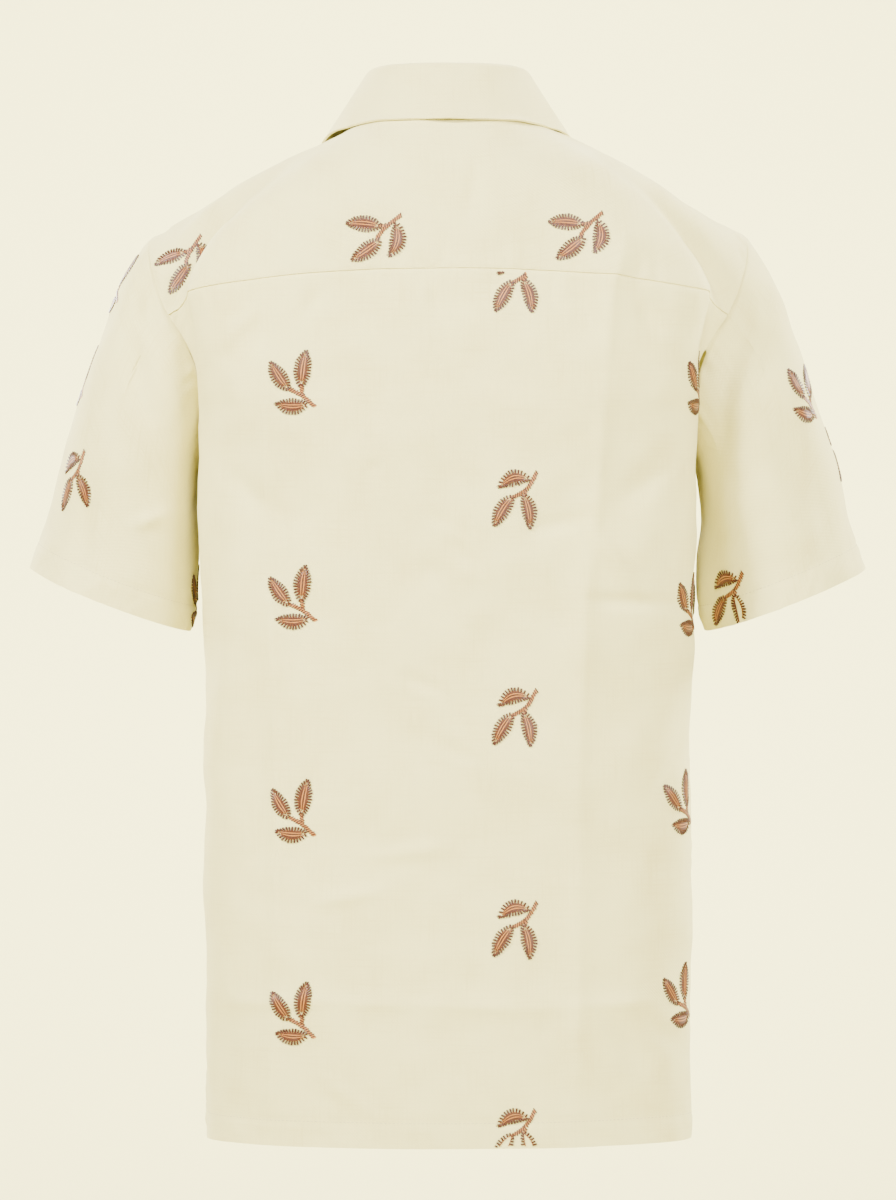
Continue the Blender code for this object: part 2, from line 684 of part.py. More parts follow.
def make_body():
    """All cloth pieces, then the buttons on the left front."""
    back = back_grid()
    front = front_grid()
    yoke = yoke_grid(back, front)
    ring = armhole_ring(back, front, yoke)
    sleeve = sleeve_grid(ring)

    # Every grid runs so that its outer face is the wall's outer face.
    front_left = front[:, ::-1]
    front_right = mirrored(front)
    sleeve_right = mirrored(sleeve)[:, ::-1]
    grids = [back, front_left, front_right, yoke[:, ::-1], sleeve, sleeve_right]
    grids = fold_all(grids)
    grids[4:], normals, tree = hang_sleeves(grids[:4], grids[4:])
    back, left, right, yoke, sleeve_left, sleeve_right = grids
    right_under = underlap(right, normals[2])

    all_but_hem = ("last_row", "first_column", "last_column")
    wall("back_panel", part_edges(back, all_but_hem), normals[0], cloth("back_panel"))
    wall("front_left", part_edges(left, ("last_row", "last_column")), normals[1], cloth("front_left"))
    wall("front_right", part_edges(right_under, ("last_row", "first_column")), normals[2], cloth("front_right"))
    outer_sides = ("last_row", "first_column", "last_column")
    wall("back_yoke", part_edges(yoke, outer_sides), normals[3], cloth("back_yoke"))
    for name, grid, normal in (
        ("sleeve_left", sleeve_left, normals[4]), ("sleeve_right", sleeve_right, normals[5])
    ):
        wall(name, part_edges(grid, ("first_row",)), normal, cloth(name), closed=True)

    ups = body_rows()
    gorge_row = int(np.argmin(abs(ups - GORGE_UP)))
    neckline_front = left[gorge_row:, 0][::-1]

    def neck_at(place):
        """The collar's seam on the neckline: 0 centre back, 2 end of the yoke, 3 gorge."""
        if place <= 2:
            return neck_curve(left[-1, 0], place / 2)
        return at_lengths(neckline_front, [place - 2])[0]

    collar = collar_grid(neck_at, tree)
    wall("collar", collar[:, ::-1], own_normals(collar[:, ::-1]), cloth("collar"))

    lapel = lapel_grid(left, normals[1], LEFT_LAPEL_START, tree)
    wall("lapel_left", lapel, own_normals(lapel), cloth("lapel_left"))
    lapel = mirrored(lapel_grid(left, normals[1], RIGHT_LAPEL_START, tree))[:, ::-1]
    wall("lapel_right", lapel, own_normals(lapel), cloth("lapel_right"))

    for number in range(BUTTON_COUNT):
        z = BUTTON_FIRST_Z - number * BUTTON_PITCH
        hit, normal, _, _ = tree.ray_cast(Vector((0.0, -0.4, z)), Vector((0, 1, 0)))
        name = "button_%d" % (number + 1)
        make_button(name, hit, normal, make_material(name + "_" + SHELL_BUTTON[0], *SHELL_BUTTON[1:]))


for old in list(bpy.data.objects):
    bpy.data.objects.remove(old, do_unlink=True)
SHIRT = bpy.data.collections.new("embroidered_shirt")
CUTTERS = bpy.data.collections.new("cutters")
bpy.context.scene.collection.children.link(SHIRT)
bpy.context.scene.collection.children.link(CUTTERS)
make_body()
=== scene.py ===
"""Embroidered camp-collar shirt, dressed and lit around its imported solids.

The cloth is lofted through the same tables as the solids, a few millimetres from point to point,
then creased, puckered at its seams and hemmed. The embroidery is laid on it stitch by stitch.
+Z is up, the front faces -Y and the wearer's left is +X. Tables are in millimetres.
"""

import itertools
import math
import random

import bmesh
import bpy
import numpy as np
from bpy.props import FloatProperty, FloatVectorProperty, PointerProperty
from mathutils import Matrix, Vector, noise
from mathutils.bvhtree import BVHTree


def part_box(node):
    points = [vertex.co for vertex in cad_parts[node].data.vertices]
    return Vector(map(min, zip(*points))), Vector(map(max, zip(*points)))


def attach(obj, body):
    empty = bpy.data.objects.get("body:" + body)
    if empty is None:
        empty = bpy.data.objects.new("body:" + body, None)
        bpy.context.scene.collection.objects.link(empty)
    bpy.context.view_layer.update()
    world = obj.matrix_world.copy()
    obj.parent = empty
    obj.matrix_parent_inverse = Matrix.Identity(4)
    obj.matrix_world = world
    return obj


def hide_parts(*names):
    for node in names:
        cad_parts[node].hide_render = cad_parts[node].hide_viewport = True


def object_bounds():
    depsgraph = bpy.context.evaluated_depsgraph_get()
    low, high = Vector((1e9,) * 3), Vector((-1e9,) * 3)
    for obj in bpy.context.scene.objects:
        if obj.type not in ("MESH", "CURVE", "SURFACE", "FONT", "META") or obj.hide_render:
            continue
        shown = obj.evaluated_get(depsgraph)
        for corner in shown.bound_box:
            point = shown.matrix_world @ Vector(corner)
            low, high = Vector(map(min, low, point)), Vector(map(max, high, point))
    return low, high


bl_info = {
    "name": "Embroidered camp-collar shirt",
    "version": (1, 0, 0),
    "blender": (4, 5, 0),
    "location": "3D View > Sidebar > Shirt",
    "description": "Cuts, sews, embroiders and lights a short-sleeved shirt on its packed solids",
    "category": "Add Mesh",
}

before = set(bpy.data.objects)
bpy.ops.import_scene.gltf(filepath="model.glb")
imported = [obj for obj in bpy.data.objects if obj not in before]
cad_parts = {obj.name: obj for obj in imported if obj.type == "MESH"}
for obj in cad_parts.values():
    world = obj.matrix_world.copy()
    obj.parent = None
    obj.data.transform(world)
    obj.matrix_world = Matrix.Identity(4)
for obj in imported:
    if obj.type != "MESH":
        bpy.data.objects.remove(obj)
CAD_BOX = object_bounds()

MM = 0.001

# Form of the shirt, as in the solids

UNDERLAP_DROP = 2.4 * MM
UNDERLAP_START = 34 * MM
UNDERLAP_FULL = 19 * MM
LAY_LIFT = 2.5 * MM
COLLAR_WALL = 1.5 * MM
UNDERARM_GAP = 1.4 * MM
MITRE_LEAST = 0.4          # least agreement of two normals for their pieces to share one at a seam
SEAM_GRID = 0.02 * MM      # points of two pieces that round to the same step of this are one seam's

BREAK_UP = 1.375
GORGE_UP = 1.875

FORM_COLUMNS = ("up", "middle_y", "middle_z", "crest_x", "crest_y", "crest_z", "square", "drop")
BACK_FORM = (
    (0.00, 118, -740, 177.6, 42, -737, 2.50, 2.2),
    (0.30, 120, -590, 178.4, 44, -590, 2.50, 2.2),
    (0.70, 122, -390, 179.0, 48, -390, 2.50, 2.2),
    (0.80, 123, -340, 180.8, 51, -340, 2.50, 2.2),
    (1.00, 125, -240, 181.6, 58, -240, 2.50, 2.2),
    (1.35, 126, -193, 182.6, 70, -189, 2.48, 2.2),
    (1.70, 123, -145, 185.5, 73, -152, 2.45, 2.2),
    (2.00, 117, -104, 191.0, 68, -119, 2.40, 2.2),
)
FRONT_FORM = (
    (0.00, -117, -740, 177.6, -42, -737, 2.50, 2.2),
    (0.30, -120, -590, 178.4, -44, -590, 2.50, 2.2),
    (0.70, -126, -390, 179.0, -48, -390, 2.50, 2.2),
    (0.80, -127, -340, 180.8, -50, -340, 2.50, 2.2),
    (1.00, -130, -240, 181.6, -55, -240, 2.50, 2.2),
    (1.35, -125, -180, 184.0, -66, -186, 2.45, 2.0),
    (1.70, -100, -98, 193.0, -62, -136, 2.30, 1.5),
    (2.00, -48, -2, 203.0, -42, -86, 2.00, 1.05),
)

CURVE_COLUMNS = ("along", "x", "y", "z")
SIDE_SEAM = (
    (0.00, 176.8, 0, -729),
    (0.30, 177.8, 0, -590),
    (0.70, 178.6, 0, -390),
    (1.00, 180.3, 0, -240),
)
ARMHOLE_BACK = (
    (1.00, 180.3, 0, -240),
    (1.12, 180.0, 22, -233),
    (1.30, 179.6, 44, -213),
    (1.50, 181.0, 55, -187),
    (1.75, 190.0, 61, -159),
    (2.00, 205.0, 58, -135),
)
ARMHOLE_FRONT = (
    (1.00, 180.3, 0, -240),
    (1.12, 180.0, -22, -233),
    (1.30, 179.8, -43, -208),
    (1.50, 183.0, -55, -175),
    (1.75, 197.0, -53, -133),
    (2.00, 216.0, -32, -92),
)
ARMHOLE_TOP = (
    (0.00, 205.0, 58, -135),
    (0.19, 214.0, 49, -114),
    (0.43, 220.5, 30, -90),
    (0.64, 220.0, 8, -76),
    (0.78, 218.5, -10, -75),
    (1.00, 216.0, -32, -92),
)
NECK = (
    (0.00, 0.0, 72, 16),
    (0.19, 30.0, 66, 15),
    (0.39, 55.0, 44, 11),
    (0.60, 69.5, 14, 3),
    (0.78, 71.0, -14, -6),
)

FRONT_EDGE_COLUMNS = ("up", "x")
FRONT_EDGE = (
    (0.000, -15),
    (1.375, -15),
    (1.875, 50),
    (2.000, 66),
)

YOKE_COLUMNS = ("place", "neck", "start_slope", "end_x", "end_y", "end_z")
YOKE_RUN = (
    (0.0, 0.00, 40, 0.00, 0.08, -1.00),
    (0.5, 0.25, 30, 0.15, 0.20, -0.96),
    (1.0, 0.50, 22, 0.36, 0.30, -0.88),
    (1.25, 0.62, 19, 0.46, 0.20, -0.86),
    (1.5, 0.74, 24, 0.72, 0.00, -0.69),
    (2.0, 1.00, 36, 0.62, -0.40, -0.68),
)

CUFF_CENTRE = np.array((249.5, -5, -343)) * MM
CUFF_OUTWARD = np.array((59.5, 0, 23)) * MM
CUFF_BACKWARD = np.array((0, 60, -5)) * MM
SLEEVE_AXIS = np.array((0.30, 0, -0.95))
SLEEVE_START_PULL = 0.8
SLEEVE_COLUMNS = ("round", "away_x", "away_y", "away_z")
SLEEVE_LEAVES = (
    (0.00, 0.38, 0.00, -0.92),
    (0.12, 0.74, 0.22, -0.64),
    (0.28, 0.74, 0.30, -0.60),
    (0.40, 0.66, 0.30, -0.69),
    (0.50, 0.60, 0.00, -0.80),
    (0.60, 0.66, -0.30, -0.69),
    (0.72, 0.74, -0.30, -0.60),
    (0.88, 0.74, -0.22, -0.64),
    (1.00, 0.38, 0.00, -0.92),
)

COLLAR_COLUMNS = ("place", "roll_x", "roll_y", "roll_z", "edge_x", "edge_y", "edge_z")
COLLAR_FORM = (
    (0.00, 0, -6, 32, 0, 19, -10),
    (0.40, -3, -5, 33, 9, 15, -10),
    (0.75, -7, -3, 36, 17, 10, -9),
    (1.15, -13, -3, 40, 21, 0, -6),
    (1.55, -16, -2, 36, 28, -4, -14),
    (2.00, -12, -5, 24, 39, -9, -17),
    (2.50, -8, -6, 13, 47, -13, -15),
    (3.00, -4, -5, 6, 54, -12, -12),
)
ROLL_RADIUS = 2.6 * MM
# The bend over the roll, in radii: up the stand, outwards, down the fall
ROLL_BEND = ((-1.3, 0.0, 0.0), (-0.3, 0.1, 0.0), (0.0, 1.0, 0.0), (0.0, 1.7, 1.0))
COLLAR_INSET = 0.7 * MM    # its seam lies this much deeper than its own wall

LAPEL_TIP = (97 * MM, -93 * MM)
LAPEL_BELLY = 4 * MM
LAPEL_FOOT_WIDTH = 6 * MM
LEFT_LAPEL_START = 0.03
RIGHT_LAPEL_START = 0.30
LAPEL_END = 0.955
LAPEL_ROLL = ((2.1, -1.2), (2.2, 0.5), (0.9, 2.2))   # off the front's edge: away from it, outwards

# The largest folds, as in the solids, then the smaller ones that only the cloth shows. Each runs
# between two places of the front view (x, z), on the back (side 1) or the front (side -1); width
# is half the trough's breadth, and a negative depth stands up as a ridge.
FOLD_COLUMNS = ("x1", "z1", "x2", "z2", "side", "width", "depth")
FOLDS = (
    (224, -96, 214, -150, 1, 9, 4.5),
    (238, -140, 216, -220, 1, 13, 5.0),
    (246, -150, 253, -210, 1, 10, 3.0),
    (-226, -100, -212, -150, 1, 9, 4.0),
    (-238, -130, -230, -190, 1, 12, 4.5),
    (222, -110, 208, -165, -1, 10, 4.0),
    (240, -140, 226, -210, -1, 13, 4.5),
    (-224, -112, -208, -168, -1, 10, 4.0),
    (-241, -136, -228, -205, -1, 12, 4.5),
    (140, -190, 95, -330, 1, 34, 3.0),
    (-150, -180, -110, -320, 1, 34, 3.0),
    (84, -300, 23, -644, 1, 40, 2.0),
    (-40, -520, -130, -700, 1, 40, 2.5),
    (130, -200, 90, -340, -1, 34, 3.0),
    (-130, -190, -100, -350, -1, 34, 3.0),
    (60, -420, 100, -700, -1, 40, 3.0),
    (-90, -480, -50, -700, -1, 40, 3.0),
)
SMALL_FOLDS = (
    (166, -163, 136, -130, 1, 6, -3.0),
    (94, -563, 48, -554, 1, 5, -2.5),
    (56, -529, 0, -523, 1, 6, -2.5),
    (-151, -486, -173, -450, 1, 6, 3.8),
    (90, -691, 55, -714, 1, 6, -2.3),
    (-103, -291, -139, -339, 1, 5, -3.8),
    (-98, -344, -172, -347, 1, 5, 3.0),
    (-60, -294, -100, -285, 1, 6, 2.3),
    (-116, -640, -146, -690, 1, 9, 3.0),
    (-140, -645, -168, -668, 1, 7, 2.5),
    (160, -250, 120, -290, 1, 9, 3.0),
    (-165, -240, -128, -272, 1, 9, 3.0),
    (12, -118, 4, -142, 1, 6, 2.5),
    (-2, -120, -16, -138, 1, 6, 2.5),
    (-70, -116, -84, -140, 1, 6, 2.7),
    (-88, -117, -108, -150, 1, 6, 2.5),
    (-138, -126, -150, -152, 1, 6, 2.3),
    (92, -119, 104, -140, 1, 6, 2.3),
    (-21, -25, -16, -66, 1, 6, 2.3),
    (14, -282, -2, -291, 1, 4, 1.7),
    (2, -300, -22, -322, 1, 5, 2.1),
    (18, -314, 6, -334, 1, 5, 1.9),
    (34, -398, 0, -412, 1, 5, 1.7),
    (4, -408, -16, -446, 1, 5, 1.9),
    (12, -446, -22, -460, 1, 5, 1.7),
    (52, -244, 56, -256, 1, 4, 1.5),
    (164, -172, 170, -232, 1, 10, 3.4),
    (170, -300, 174, -420, 1, 9, 3.0),
    (-172, -380, -174, -470, 1, 9, 2.7),
    (160, -640, 166, -700, 1, 9, 3.4),
    (140, -410, 134, -520, 1, 12, 2.7),
    (150, -150, 110, -210, -1, 12, 3.8),
    (-148, -150, -112, -205, -1, 12, 3.8),
    (60, -250, 110, -262, -1, 7, 2.5),
    (-60, -330, -118, -318, -1, 7, 2.5),
    (40, -560, 96, -548, -1, 6, 2.7),
    (-30, -640, -88, -622, -1, 7, 2.8),
    (20, -402, 44, -420, -1, 5, 1.9),
    (-96, -430, -120, -470, -1, 6, 2.7),
    (120, -600, 150, -560, -1, 7, 2.8),
    (226, -110, 221, -146, 1, 8, 4.9),
    (234, -136, 226, -190, 1, 9, 4.6),
    (230, -290, 205, -280, 1, 5, -3.0),
    (262, -262, 274, -330, 1, 9, 3.4),
    (-226, -122, -206, -190, 1, 9, 4.2),
    (-204, -150, -198, -250, 1, 9, 3.8),
    (-240, -200, -268, -300, 1, 12, 3.0),
    (-268, -240, -284, -310, 1, 9, 3.4),
    (258, -270, 270, -335, -1, 9, 3.4),
    (226, -130, 214, -190, -1, 9, 4.2),
    (-262, -262, -276, -330, -1, 9, 3.4),
    (-224, -126, -210, -196, -1, 9, 4.2),
)

# Creases left by the iron, sharper than a fold: lines through places of the front view
PRESSED_COLUMNS = ("side", "width", "height", "line")
PRESSED = (
    (1, 10, 5.6, ((131, -116), (131, -308), (127, -366), (122.5, -516), (124, -624), (127, -730))),
    (1, 10, 5.2, (
        (-134, -60), (-119, -118), (-112, -204), (-107, -284), (-98.5, -340), (-94.5, -473), (-93.7, -730),
    )),
    (1, 8, 3.6, ((168, -636), (90, -634), (30, -636), (-60, -639), (-155, -634))),
    (-1, 10, 4.0, ((118, -130), (114, -300), (110, -520), (112, -728))),
    (-1, 10, 4.2, ((-116, -130), (-110, -330), (-104, -560), (-104, -728))),
    (-1, 8, 3.0, ((-160, -622), (-40, -620), (158, -624))),
)
PRESSED_WAVES = 23         # how often a pressed crease fades and returns along its line
PRESSED_FADE = 0.25        # by what share it fades
PRESSED_END = 1 / 18       # the share of its line in which it starts and ends
FOLD_ENDS = 0.1            # the share of a soft fold's line that its two ends leave out

# Grid counts, fine enough for points about 3 mm apart
SECTION_STEPS = 360
ROWS_LOW = 160
ROWS_HIGH = 48
STRIP = 18
HALF_BACK = 60
FRONT_WIDE = 60
ARM_TOP = 30
SLEEVE_ROWS = 80
COLLAR_FALL = 22
COLLAR_PROFILE = 60
COLLAR_PLACES = 84
LAPEL_ACROSS = 26
LAPEL_STOPS = 48
NEAR_EDGE = (0.3, 0.62)   # extra rows inside the first step from a seam, so that its roll shows

# How seams, hems and the cloth's own unevenness lie on the form
SEAM_ROLL = 1.5 * MM
SEAM_UNDER = 1.3 * MM      # how far a piece sinks at a seam where another laps it
SEAM_LAP = 0.35 * MM       # how far the piece on top sinks there
PUCKER_START = 2.5 * MM
PUCKER_HEIGHT = 2.2 * MM
PUCKER_LENGTH = 13 * MM
PUCKER_PITCH = 7.5 * MM
HEM_RAISE = 0.3 * MM
HEM_DIP = 0.7 * MM
HEM_DIP_WIDTH = 1.8 * MM
HEM_EDGE = 0.7 * MM
HEM_LAYER = 0.7            # what the turned layer adds to the cloth's thickness, pressed flat
HEM_LAYER_EDGE = 0.6 * MM
HEM_ROPE = 1.2 * MM
HEM_ROPE_PITCH = 9 * MM
HEM_ROPE_SLANT = 0.6
HEM_ROPE_MIDDLE = 0.55     # where the ripples are highest and how far they reach, in hem depths
HEM_ROPE_REACH = 0.75
EASE_HEIGHT = 3.2 * MM
EASE_SIZE = 62 * MM
EASE_FINER = 2.7           # the finer unevenness: how much finer, and its share of the height
EASE_FINE_SHARE = 0.3
SHARP_EDGE = math.radians(55)

# Any stitch: where its four points lie along it, and its section in widths. Shades run from 0, the
# thread's dark colour, to 1, its pale one.
STITCH_POINTS = (0, 0.25, 0.75, 1)
SHORT_STITCH_POINTS = (0, 0.1, 0.9, 1)
STRAND_SIDES = 5
STRAND_HEIGHT = 0.34
STRAND_RAISE = 0.22
STRAND_DIVE = 0.25         # how deep its ends go into the cloth
STRAND_SWELL = (0.12, 0.88, 0.4)   # where its thickening starts and ends, in half turns, and its power

# Topstitching
STITCH_LENGTH = 2.3 * MM
STITCH_PITCH = 3.0 * MM
STITCH_JITTER = 0.08
SEWING_THREAD = 0.42 * MM
SEWING_SHADES = (0.4, 0.8)

# Embroidery, in millimetres: how each leaf's stitches are laid
LEAF_WIDTH = 12.5          # the leaf width that the sizes below are for
FRINGE_PITCH = 1.9
FRINGE_LENGTH = 3.7
FRINGE_WIDTH = 1.45
FRINGE_CROWD = 1.12        # a leaf's edge is this much longer than its midrib
FRINGE_STITCHES = (
    # each second place or not, start and its share of the stitch, length share, width share, shade, lift
    (1, -0.3, 0.00, 0.30, 0.7, 0.8, 0.0),
    (0, -0.2, 0.00, 0.70, 1.0, 0.2, 0.1),
    (0, 0.0, 0.32, 0.68, 1.0, 0.0, 0.2),
)
FRINGE_SPAN = (0.01, 0.99)
FRINGE_SQUARE = 0.42       # share of the leaf, from its base, at which the fringe stands square
FRINGE_LEAN = 130          # degrees that the fringe turns from the base to the tip
FRINGE_SHORT = 0.28        # how much shorter a fringe stitch is at the ends
LENS = 2.6                 # half width of the satin middle of a leaf
LENS_SKEW = 0.9            # under 1 is widest before the middle of the leaf
LENS_ROUND = 0.7           # under 1 has rounder ends
SPINE_SPAN = (0.03, 0.97)
SPINE_STEPS = 8
SPINE_SHORTER = 0.08       # how much of each end the outermost spine leaves out
SPINES = (
    # offset across the middle, width, shade
    # The two pale strands, shade 0.95, are a painted highlight along the satin middle.
    (-0.98, 0.75, 0.30),
    (-0.74, 0.70, 0.12),
    (-0.50, 0.70, 0.95),
    (-0.24, 0.70, 0.05),
    (0.00, 0.75, 0.00),
    (0.26, 0.70, 0.95),
    (0.52, 0.70, 0.35),
    (0.76, 0.70, 0.10),
    (0.98, 0.70, 0.30),
)
STEM_STEPS = 24
STEM_PITCH = 1.75
STEM_LENGTH = 4.2
STEM_WIDTH = 1.0
STEM_SLANT = 0.5
STEM_BARS = ((0, 1.0, 0.08, 0.12), (1, 0.76, 0.85, 0.0))   # second place or not, length share, shade, lift
TAIL_MIDDLE = -1.4
TAIL_LOOP = (1.3, 0.7)
TAIL_START = 0.6           # where the loop opens, in radians
TAIL_THREAD = (0.35, 0.35)   # width and shade
HAND_JITTER = 0.12         # how far a stitch strays
HAND_LENGTH = (0.88, 1.12)
HAND_WIDTH = (0.9, 1.1)

# The three sprigs of the repeat, in the plane of the cloth: x to the viewer's right, y up.
# A leaf's numbers are its base x and y, its tip x and y, its bow and its width.
SPRIGS = {
    "upright": {
        "leaves": (
            (-4.3, -2.0, -15.6, 15.2, 0.6, 12.5),
            (6.1, 0.6, 9.4, 22.8, 0.8, 13.5),
            (8.6, -14.4, -10.8, -13.6, 1.6, 12.5),
        ),
        "stems": (((-3.4, -2.6), (6.4, -7.6), (16.0, -15.8)), ((6.2, 0.0), (6.5, -7.0))),
        "tail": (-11.4, -13.4),
    },
    "drooping": {
        "leaves": (
            (8.6, 13.4, -10.2, 7.6, -3.6, 12.5),
            (-3.0, -0.6, -14.0, -19.6, -0.8, 12.5),
            (6.8, 0.6, 11.2, -20.6, 1.6, 12.0),
        ),
        "stems": (((15.4, 18.6), (7.8, 5.8), (-2.6, -0.8)), ((8.2, 5.4), (6.8, 0.8))),
        "tail": (-10.8, 7.4),
    },
    "spreading": {
        "leaves": (
            (1.6, 8.2, -20.0, 10.2, -0.8, 13.0),
            (1.8, -3.2, -16.2, -15.8, 0.6, 13.0),
            (14.6, 8.6, 10.6, -12.4, 3.2, 13.0),
        ),
        "stems": (((18.2, 16.6), (9.4, 9.4), (4.6, 4.6), (0.2, -1.0)), ((9.0, 9.2), (2.2, 7.6))),
        "tail": (10.4, -13.0),
    },
}

# Where the sprigs lie. Each row is a line of the repeat: the view it is seen from (degrees round
# the shirt, 180 is the back), how far right of the centre in that view, its heights, its turn.
PLACE_COLUMNS = ("piece", "view", "across", "heights", "kind", "turn")
PLACES = (
    ("back_panel", 180, -111.7, (-189, -344, -498, -644), "upright", 0),
    ("back_panel", 180, 48.3, (-115, -270, -427, -580, -730), "drooping", 0),
    ("back_panel", 225, 73.5, (-188, -349), "upright", 0),
    ("back_panel", 225, 67, (-493, -634), "upright", 4),
    ("back_yoke", 180, -51.9, (-82,), "spreading", 0),
    ("back_yoke", 180, 95.1, (-80,), "spreading", 0),
    ("back_yoke", 180, -193, (-97,), "spreading", 25),
    ("sleeve_left", 120, -113, (-112,), "upright", 10),
    ("sleeve_left", 180, -275, (-255,), "drooping", 8),
    ("sleeve_left", 180, -186, (-343,), "upright", 0),
    ("sleeve_right", 180, 262, (-193,), "upright", -6),
    ("sleeve_right", 180, 205, (-342,), "drooping", 0),
    ("sleeve_left", 0, 262, (-205,), "drooping", -12),
    ("sleeve_left", 0, 232, (-330,), "upright", -8),
    ("sleeve_left", 90, 4, (-180,), "upright", 0),
    ("sleeve_right", 0, -240, (-150,), "upright", 14),
    ("sleeve_right", 0, -272, (-296,), "drooping", 8),
    ("sleeve_right", 270, 6, (-235,), "drooping", 0),
    ("front_right", 0, -118, (-116, -270, -424, -578, -732), "drooping", 0),
    ("front_left", 0, 52, (-194, -348, -502, -656), "upright", 0),
    ("front_left", 90, -44, (-270, -424, -578, -730), "drooping", 0),
    ("front_right", 270, 38, (-350, -504, -658), "upright", 0),
    ("front_left", 0, 138, (-128,), "spreading", 0),
)
PATCH_HALF = 32 * MM      # half the square of cloth that carries one sprig
PATCH_STEPS = 16
PATCH_BEYOND = 0.15 * MM  # a place this far to the side of the nearest cloth lies past its edge
OFF_CLOTH = 0.5 * MM      # a stitch whose place is this far past a seam isn't sewn
LOOK_FROM = 0.8           # metres from the shirt's middle, from where a sprig's place is looked for
IN_FRONT = 0.4            # metres before the shirt's middle, from where the front is looked at

# Buttonholes, and the bars of thread between a button's holes
BUTTONHOLE_LENGTH = 15 * MM
BUTTONHOLE_WIDTH = 2.6 * MM
BUTTONHOLE_SLOT = 0.12    # share of the width left open
BUTTONHOLE_PITCH = 0.55 * MM
BUTTONHOLE_THREAD = 0.5 * MM
BUTTONHOLE_SHADES = (0.2, 0.9)
BAR_REACH = 1.35 * MM
BAR_STRANDS = (-0.28, 0, 0.28)
BAR_THREAD = 0.32 * MM
BAR_SHADES = (0.5, 1.0)
BAR_LINE = ((0.5, -1.0), (-0.15, -0.6), (-0.15, 0.6), (0.5, 1.0))   # mm behind the face, share up

# The backdrop, in shares of its floor's radius
FLOOR_RINGS = (0.0, 0.2, 0.45, 0.65)
SWEEP = 0.35               # radius of the curve from the floor to the wall
SWEEP_STEPS = 8
WALL_HEIGHT = 0.9
BACKDROP_SIDES = 72

# The lamps, in metres, watts and degrees. Those of the back are set again, turned, for the front.
SKY_STRENGTH = 0.2
LAMP_AIM = (0, 0, -0.25)
LAMP_SPREAD = 38
LAMPS = (
    ("key", (3.7, 2.5, 2.1), 0.9, 31),
    ("fill", (-3.0, 3.6, 0.8), 2.0, 25),
    ("top", (-0.4, 3.4, 3.4), 1.6, 13),
)
WALL_LAMPS = (("back", 0, 1, 420), ("front", 0, -1, 1080), ("left", 1, 0, 340), ("right", -1, 0, 340))
WALL_LAMP_SIZE = 3.0
WALL_LAMP_SPREAD = 120
WALL_LAMP_PLACE = (3.0, 4.2)   # how far out and how high
WALL_LAMP_AIM = -0.9       # the height on the wall that it is aimed at

# The camera
PICTURE_HEIGHT = 0.888     # metres of the shirt's own plane that the picture shows
PICTURE_MIDDLE = -0.344
SENSOR = 36

# What each piece was cut to, flat: width, length, area in metres
CUTS = {
    "back_panel": (0.56, 0.66, 0.32),
    "back_yoke": (0.46, 0.26, 0.087),
    "front_left": (0.30, 0.76, 0.182),
    "front_right": (0.30, 0.76, 0.182),
    "sleeve_left": (0.41, 0.25, 0.075),
    "sleeve_right": (0.41, 0.25, 0.075),
    "collar": (0.46, 0.11, 0.038),
    "lapel_left": (0.09, 0.13, 0.0054),
    "lapel_right": (0.09, 0.10, 0.0038),
}


def linear(hex_colour):
    """An sRGB hex colour as linear red, green, blue and full alpha."""
    parts = [int(hex_colour[k:k + 2], 16) / 255 for k in (1, 3, 5)]
    return tuple(c / 12.92 if c <= 0.04045 else ((c + 0.055) / 1.055) ** 2.4 for c in parts) + (1.0,)


def colour_property(name, description, hex_colour):
    """A colour that the user can change."""
    return FloatVectorProperty(
        name=name, description=description, size=4, subtype="COLOR", min=0, max=1, default=linear(hex_colour)
    )


def length_property(name, description, metres):
    """A length that the user can change."""
    return FloatProperty(
        name=name, description=description, unit="LENGTH", subtype="DISTANCE", precision=5, min=0,
        default=metres,
    )


class ShirtCloth(bpy.types.PropertyGroup):
    """Sizes and colours of the cloth and its sewing."""

    thickness: length_property("Cloth thickness", "Thickness of one layer of the cloth", 0.9 * MM)
    folded: length_property("Folded thickness", "Thickness of the collar and the lapels", 1.5 * MM)
    hem: length_property("Hem depth", "From the body's lower edge to its line of stitches", 18.5 * MM)
    cuff: length_property("Cuff depth", "From the sleeve's edge to its line of stitches", 19 * MM)
    thread_spacing: length_property("Thread spacing", "Between threads of the weave as drawn", 1.15 * MM)
    colour: colour_property("Cloth", "Colour of the cotton and linen cloth", "#E7DFA2")
    slub_colour: colour_property("Slubs", "Colour of the thicker threads in the cloth", "#DED494")
    sewing_colour: colour_property("Sewing thread", "Colour of the seams' thread", "#D8CBA2")
    sewing_shade: colour_property("Shaded thread", "Colour of the seams' darkest stitches", "#A89C70")


class ShirtEmbroidery(bpy.types.PropertyGroup):
    """Sizes and colours of the embroidery."""

    lift: length_property("Padding", "How high the leaves stand off the cloth", 0.45 * MM)
    dark: colour_property("Dark thread", "Colour of the midribs and the ends of the fringes", "#3E1404")
    middle: colour_property("Copper thread", "Colour between the dark and the pale thread", "#521F06")
    # The pale thread also paints the highlight bands down the leaves' satin middles.
    pale: colour_property("Pale thread", "Colour of the light bands and the stems' bars", "#C07A38")


class ShirtButtons(bpy.types.PropertyGroup):
    """Colours of the buttons."""

    shell: colour_property("Shell", "Colour of the buttons", "#E9DFC8")
    cloud: colour_property("Shell clouds", "Colour of the paler clouds in the buttons", "#F8F3E6")


class ShirtStudio(bpy.types.PropertyGroup):
    """Sizes and colours of the studio."""

    distance: length_property("Camera distance", "From the camera to the middle of the shirt", 4.6)
    bowl: length_property("Backdrop radius", "Radius of the backdrop round the shirt", 9.0)
    floor: length_property("Floor depth", "How far the floor lies below the hem", 0.55)
    paper: colour_property("Backdrop", "Colour of the floor and backdrop", "#F2EDB2")
    light: FloatProperty(name="Light", description="Strength of the soft lights", min=0, default=1.0)


